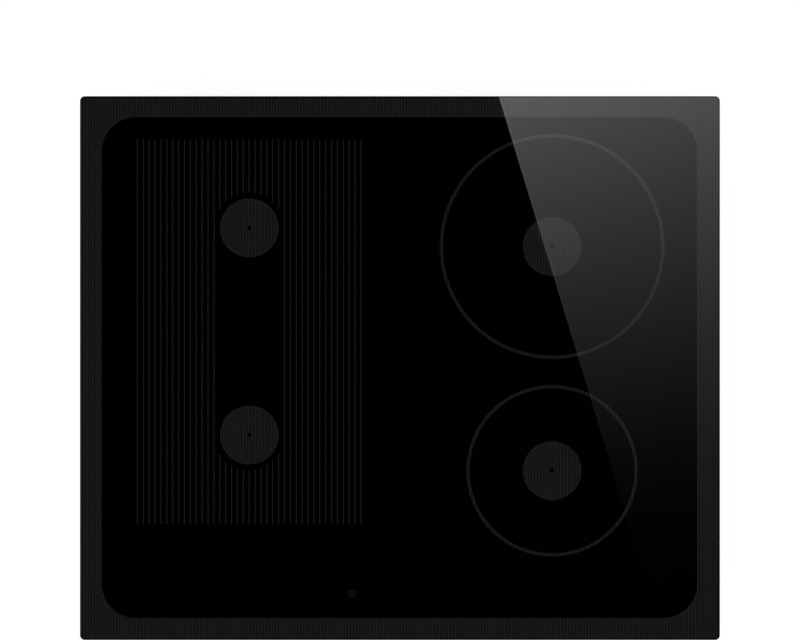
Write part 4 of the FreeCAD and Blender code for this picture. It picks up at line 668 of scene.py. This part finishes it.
bm = bmesh.new()
tray_low, tray_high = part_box("bottom_tray")
for low, high in solids_of("frame_screws"):
    mid = (low + high) / 2
    axis = 0 if high.x - low.x > high.y - low.y else 1
    way = Vector((0, 0, 0))
    way[axis] = 1.0 if mid[axis] > 0 else -1.0
    foot = mid.copy()
    foot[axis] = tray_high[axis] if mid[axis] > 0 else tray_low[axis]
    cross_screw(bm, foot, way, (high.z - low.z) / 2, high[axis] - low[axis] - SCREW_HEAD)
bmesh.ops.recalc_face_normals(bm, faces=bm.faces)
finish_piece(mesh_piece("cross_head_screws", bm), "screw_steel", "frame_screws")

# Deck springs
SPRING_RADIUS = 5.0 * MM
SPRING_WIRE = 1.2 * MM
SPRING_TURNS = 9
SPRING_STEPS = 24
WIRE_SIDES = 8


def coil_spring(bm, x0, y0, low, high):
    """A round-wire compression spring between two levels."""
    count = SPRING_TURNS * SPRING_STEPS
    base, rise, wire = low + SPRING_WIRE / 2, high - low - SPRING_WIRE, SPRING_WIRE / 2
    rings = []
    for k in range(count + 1):
        turn = FULL_TURN * k / SPRING_STEPS
        z = base + rise * k / count
        ring = []
        for j in range(WIRE_SIDES):
            a = FULL_TURN * j / WIRE_SIDES
            r = SPRING_RADIUS + wire * math.cos(a)
            ring.append(bm.verts.new((x0 + r * math.cos(turn), y0 + r * math.sin(turn),
                                      z + wire * math.sin(a))))
        rings.append(ring)
    skin(bm, rings)


for side in ("left", "right"):
    node, joint = f"deck_springs_{side}", f"coil_deck_{side}_float"
    low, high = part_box(node)
    reach = SPRING_RADIUS + SPRING_WIRE / 2
    bm = bmesh.new()
    for x in (low.x + reach, high.x - reach):
        for y in (low.y + reach, high.y - reach):
            coil_spring(bm, x, y, low.z, high.z)
    bmesh.ops.recalc_face_normals(bm, faces=bm.faces)
    springs = mesh_piece(f"round_wire_springs_{side}", bm, smooth=True)
    finish_piece(springs, "spring_steel", node)
    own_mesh(springs)

# Camera, straight above the glass
CAMERA_HEIGHT = 3.0
VIEW_WIDTH = 0.75005
VIEW_SPOT = Vector((0.00005, 0.0451))
SENSOR = 36.0
CLIP_END = 100.0
camera = bpy.data.objects.new("camera", bpy.data.cameras.new("camera"))
bpy.context.scene.collection.objects.link(camera)
camera.location = (*VIEW_SPOT, PRINT_TOP + CAMERA_HEIGHT)
camera.rotation_euler = (0.0, 0.0, 0.0)
camera.data.sensor_width = SENSOR
camera.data.lens = SENSOR * CAMERA_HEIGHT / VIEW_WIDTH
camera.data.clip_end = CLIP_END
bpy.context.scene.camera = camera


# Stage
def plane(name, corners):
    bm = bmesh.new()
    bm.faces.new([bm.verts.new(c) for c in corners])
    return mesh_piece(name, bm)


def stage_material(name):
    mat, tree, shader = new_material(name)
    tree.nodes.remove(shader)
    return mat, tree, tree.nodes["Material Output"]


def mix_shaders(tree, factor, first, second):
    made = add(tree, "ShaderNodeMixShader")
    for socket, value in zip(made.inputs, (factor, first, second)):
        tree.links.new(value, socket)
    return made.outputs[0]


def seen_rays(tree):
    """One for rays from the camera, from gloss or through glass, else zero."""
    path = add(tree, "ShaderNodeLightPath")
    total = path.outputs["Is Camera Ray"]
    for ray in ("Is Glossy Ray", "Is Transmission Ray"):
        total = math_node(tree, "MAXIMUM", total, path.outputs[ray])
    return total


# White floor that still takes a faint shadow, open from below
FLOOR_REACH = 30.0
FLOOR_DROP = 0.5 * MM
FLOOR_MATT, FLOOR_SHADED, FLOOR_GLOW = 0.8, 0.17, 0.875


def floor_material():
    mat, tree, output = stage_material("floor")
    matt = add(tree, "ShaderNodeBsdfDiffuse", None, Color=grey(FLOOR_MATT))
    faint = add(tree, "ShaderNodeBsdfDiffuse", None, Color=grey(FLOOR_SHADED))
    glow = add(tree, "ShaderNodeEmission", None, Color=WHITE, Strength=FLOOR_GLOW)
    white = add(tree, "ShaderNodeAddShader")
    tree.links.new(faint.outputs[0], white.inputs[0])
    tree.links.new(glow.outputs[0], white.inputs[1])
    above = mix_shaders(tree, seen_rays(tree), matt.outputs[0], white.outputs[0])
    clear = add(tree, "ShaderNodeBsdfTransparent")
    sides = add(tree, "ShaderNodeNewGeometry")
    both = mix_shaders(tree, sides.outputs["Backfacing"], above, clear.outputs[0])
    tree.links.new(both, output.inputs["Surface"])
    return mat


floor = plane("floor", [(a * FLOOR_REACH, b * FLOOR_REACH, -FLOOR_DROP)
                        for a, b in ((-1, -1), (1, -1), (1, 1), (-1, 1))])
floor.data.materials.append(floor_material())

# Card overhead whose mirror image is the pale wedge on the glass, measured where it shows there
CARD_HEIGHT = 4.2
CARD_MARGIN = 20.0 * MM
MIRROR = 0.04  # share of the light that glass mirrors straight back
EDGE_TOP, EDGE_SLOPE = 92.8 * MM, 0.304  # of the slanting edge, from the glass's back
FADE_FRONT, FADE_BACK = -217.0 * MM, 230.7 * MM
FADE_PEAK = 0.068  # level of the mirror image at the back
STEEP_POWER, STEEP_SHARE = 3.0, 0.94
GENTLE_POWER, GENTLE_SHARE = 1.2, 0.06
SIDE_FADE_SHARE = 0.31
SIDE_REACH = 190.0 * MM
RIM_WIDTH, RIM_SHARE = 1.5 * MM, 0.25
GROW = 1 + CARD_HEIGHT / CAMERA_HEIGHT
CARD_SHIFT = (GROW - 1) * VIEW_SPOT


def on_card(x, y):
    """The card's point that the camera sees mirrored at a point of the glass."""
    return (GROW * x - CARD_SHIFT.x, GROW * y - CARD_SHIFT.y, PRINT_TOP + CARD_HEIGHT)


def edge_x(y):
    return EDGE_TOP + EDGE_SLOPE * (GLASS_Y - y)


def card_strength(tree):
    """The card's glow, which fades to the front and away from its slanting edge."""
    def work(operation, *values):
        return math_node(tree, operation, *values)

    place = add(tree, "ShaderNodeTexCoord")
    split = add(tree, "ShaderNodeSeparateXYZ")
    tree.links.new(place.outputs["Object"], split.inputs[0])
    glass_x = work("DIVIDE", work("ADD", split.outputs["X"], CARD_SHIFT.x), GROW)
    glass_y = work("DIVIDE", work("ADD", split.outputs["Y"], CARD_SHIFT.y), GROW)
    rise = work("DIVIDE", work("SUBTRACT", glass_y, FADE_FRONT), FADE_BACK - FADE_FRONT)
    rise = work("MAXIMUM", rise, 0.0)
    steep = work("MULTIPLY", work("POWER", rise, STEEP_POWER), STEEP_SHARE)
    gentle = work("MULTIPLY", work("POWER", rise, GENTLE_POWER), GENTLE_SHARE)
    slant = work("MULTIPLY", work("SUBTRACT", GLASS_Y, glass_y), EDGE_SLOPE)
    past_edge = work("SUBTRACT", work("SUBTRACT", glass_x, EDGE_TOP), slant)
    fall = work("SUBTRACT", 1.0, work("MULTIPLY", past_edge, SIDE_FADE_SHARE / SIDE_REACH))
    on_rim = work("LESS_THAN", past_edge, RIM_WIDTH)
    rim = work("ADD", 1.0, work("MULTIPLY", on_rim, RIM_SHARE))
    level = work("MULTIPLY", work("ADD", steep, gentle), fall)
    return work("MULTIPLY", work("MULTIPLY", level, FADE_PEAK / MIRROR), rim)


y_back, y_front, x_right = GLASS_Y + CARD_MARGIN, -GLASS_Y, GLASS_X + CARD_MARGIN
card = plane("reflection_card", [on_card(edge_x(y_back), y_back), on_card(edge_x(y_front), y_front),
                                 on_card(x_right, y_front), on_card(x_right, y_back)])
mat, tree, output = stage_material("reflection_card")
glow = add(tree, "ShaderNodeEmission", None, Color=WHITE)
tree.links.new(card_strength(tree), glow.inputs["Strength"])
tree.links.new(glow.outputs[0], output.inputs["Surface"])
card.data.materials.append(mat)
card.visible_camera = False
card.visible_diffuse = False
card.visible_transmission = False
card.visible_shadow = False

# Soft surround: an even dome for matt surfaces, white behind the object. What gloss mirrors is pale
# at the horizon and dark overhead: the stops are heights and levels.
DOME = 0.74
SKY_STOPS = ((0.0, 0.95), (0.12, 0.85), (0.30, 0.40), (0.62, 0.22), (0.86, 0.12), (0.945, 0.03),
             (0.972, 0.0))
MIDDLE = 0.5
world = bpy.data.worlds.new("studio")
bpy.context.scene.world = world
world.use_nodes = True
tree = world.node_tree
background = tree.nodes["Background"]
place = add(tree, "ShaderNodeTexCoord")
split = add(tree, "ShaderNodeSeparateXYZ")
tree.links.new(place.outputs["Generated"], split.inputs[0])
ramp = add(tree, "ShaderNodeValToRGB")
while len(ramp.color_ramp.elements) < len(SKY_STOPS):
    ramp.color_ramp.elements.new(MIDDLE)
for element, (position, value) in zip(ramp.color_ramp.elements, SKY_STOPS):
    element.position = position
    element.color = grey(value)
tree.links.new(split.outputs["Z"], ramp.inputs["Fac"])
path = add(tree, "ShaderNodeLightPath")
lit = mix_colours(tree, path.outputs["Is Glossy Ray"], grey(DOME), ramp.outputs["Color"])
seen = mix_colours(tree, path.outputs["Is Camera Ray"], lit, WHITE)
tree.links.new(seen, background.inputs["Color"])
background.inputs["Strength"].default_value = 1.0

# Soft boxes, turned to the object
BOX_SIZE = (3.0, 2.2)
SOFT_BOXES = (("key_light", (-2.2, -1.6, 1.9), 44.0), ("fill_light", (2.3, 1.2, 2.0), 32.0))
for name, spot, watts in SOFT_BOXES:
    lamp = bpy.data.lights.new(name, "AREA")
    lamp.shape = "RECTANGLE"
    lamp.size, lamp.size_y = BOX_SIZE
    lamp.energy = watts
    box = bpy.data.objects.new(name, lamp)
    bpy.context.scene.collection.objects.link(box)
    box.location = spot
    box.rotation_euler = Vector(spot).to_track_quat("Z", "Y").to_euler()

bpy.context.scene.view_settings.view_transform = "Standard"
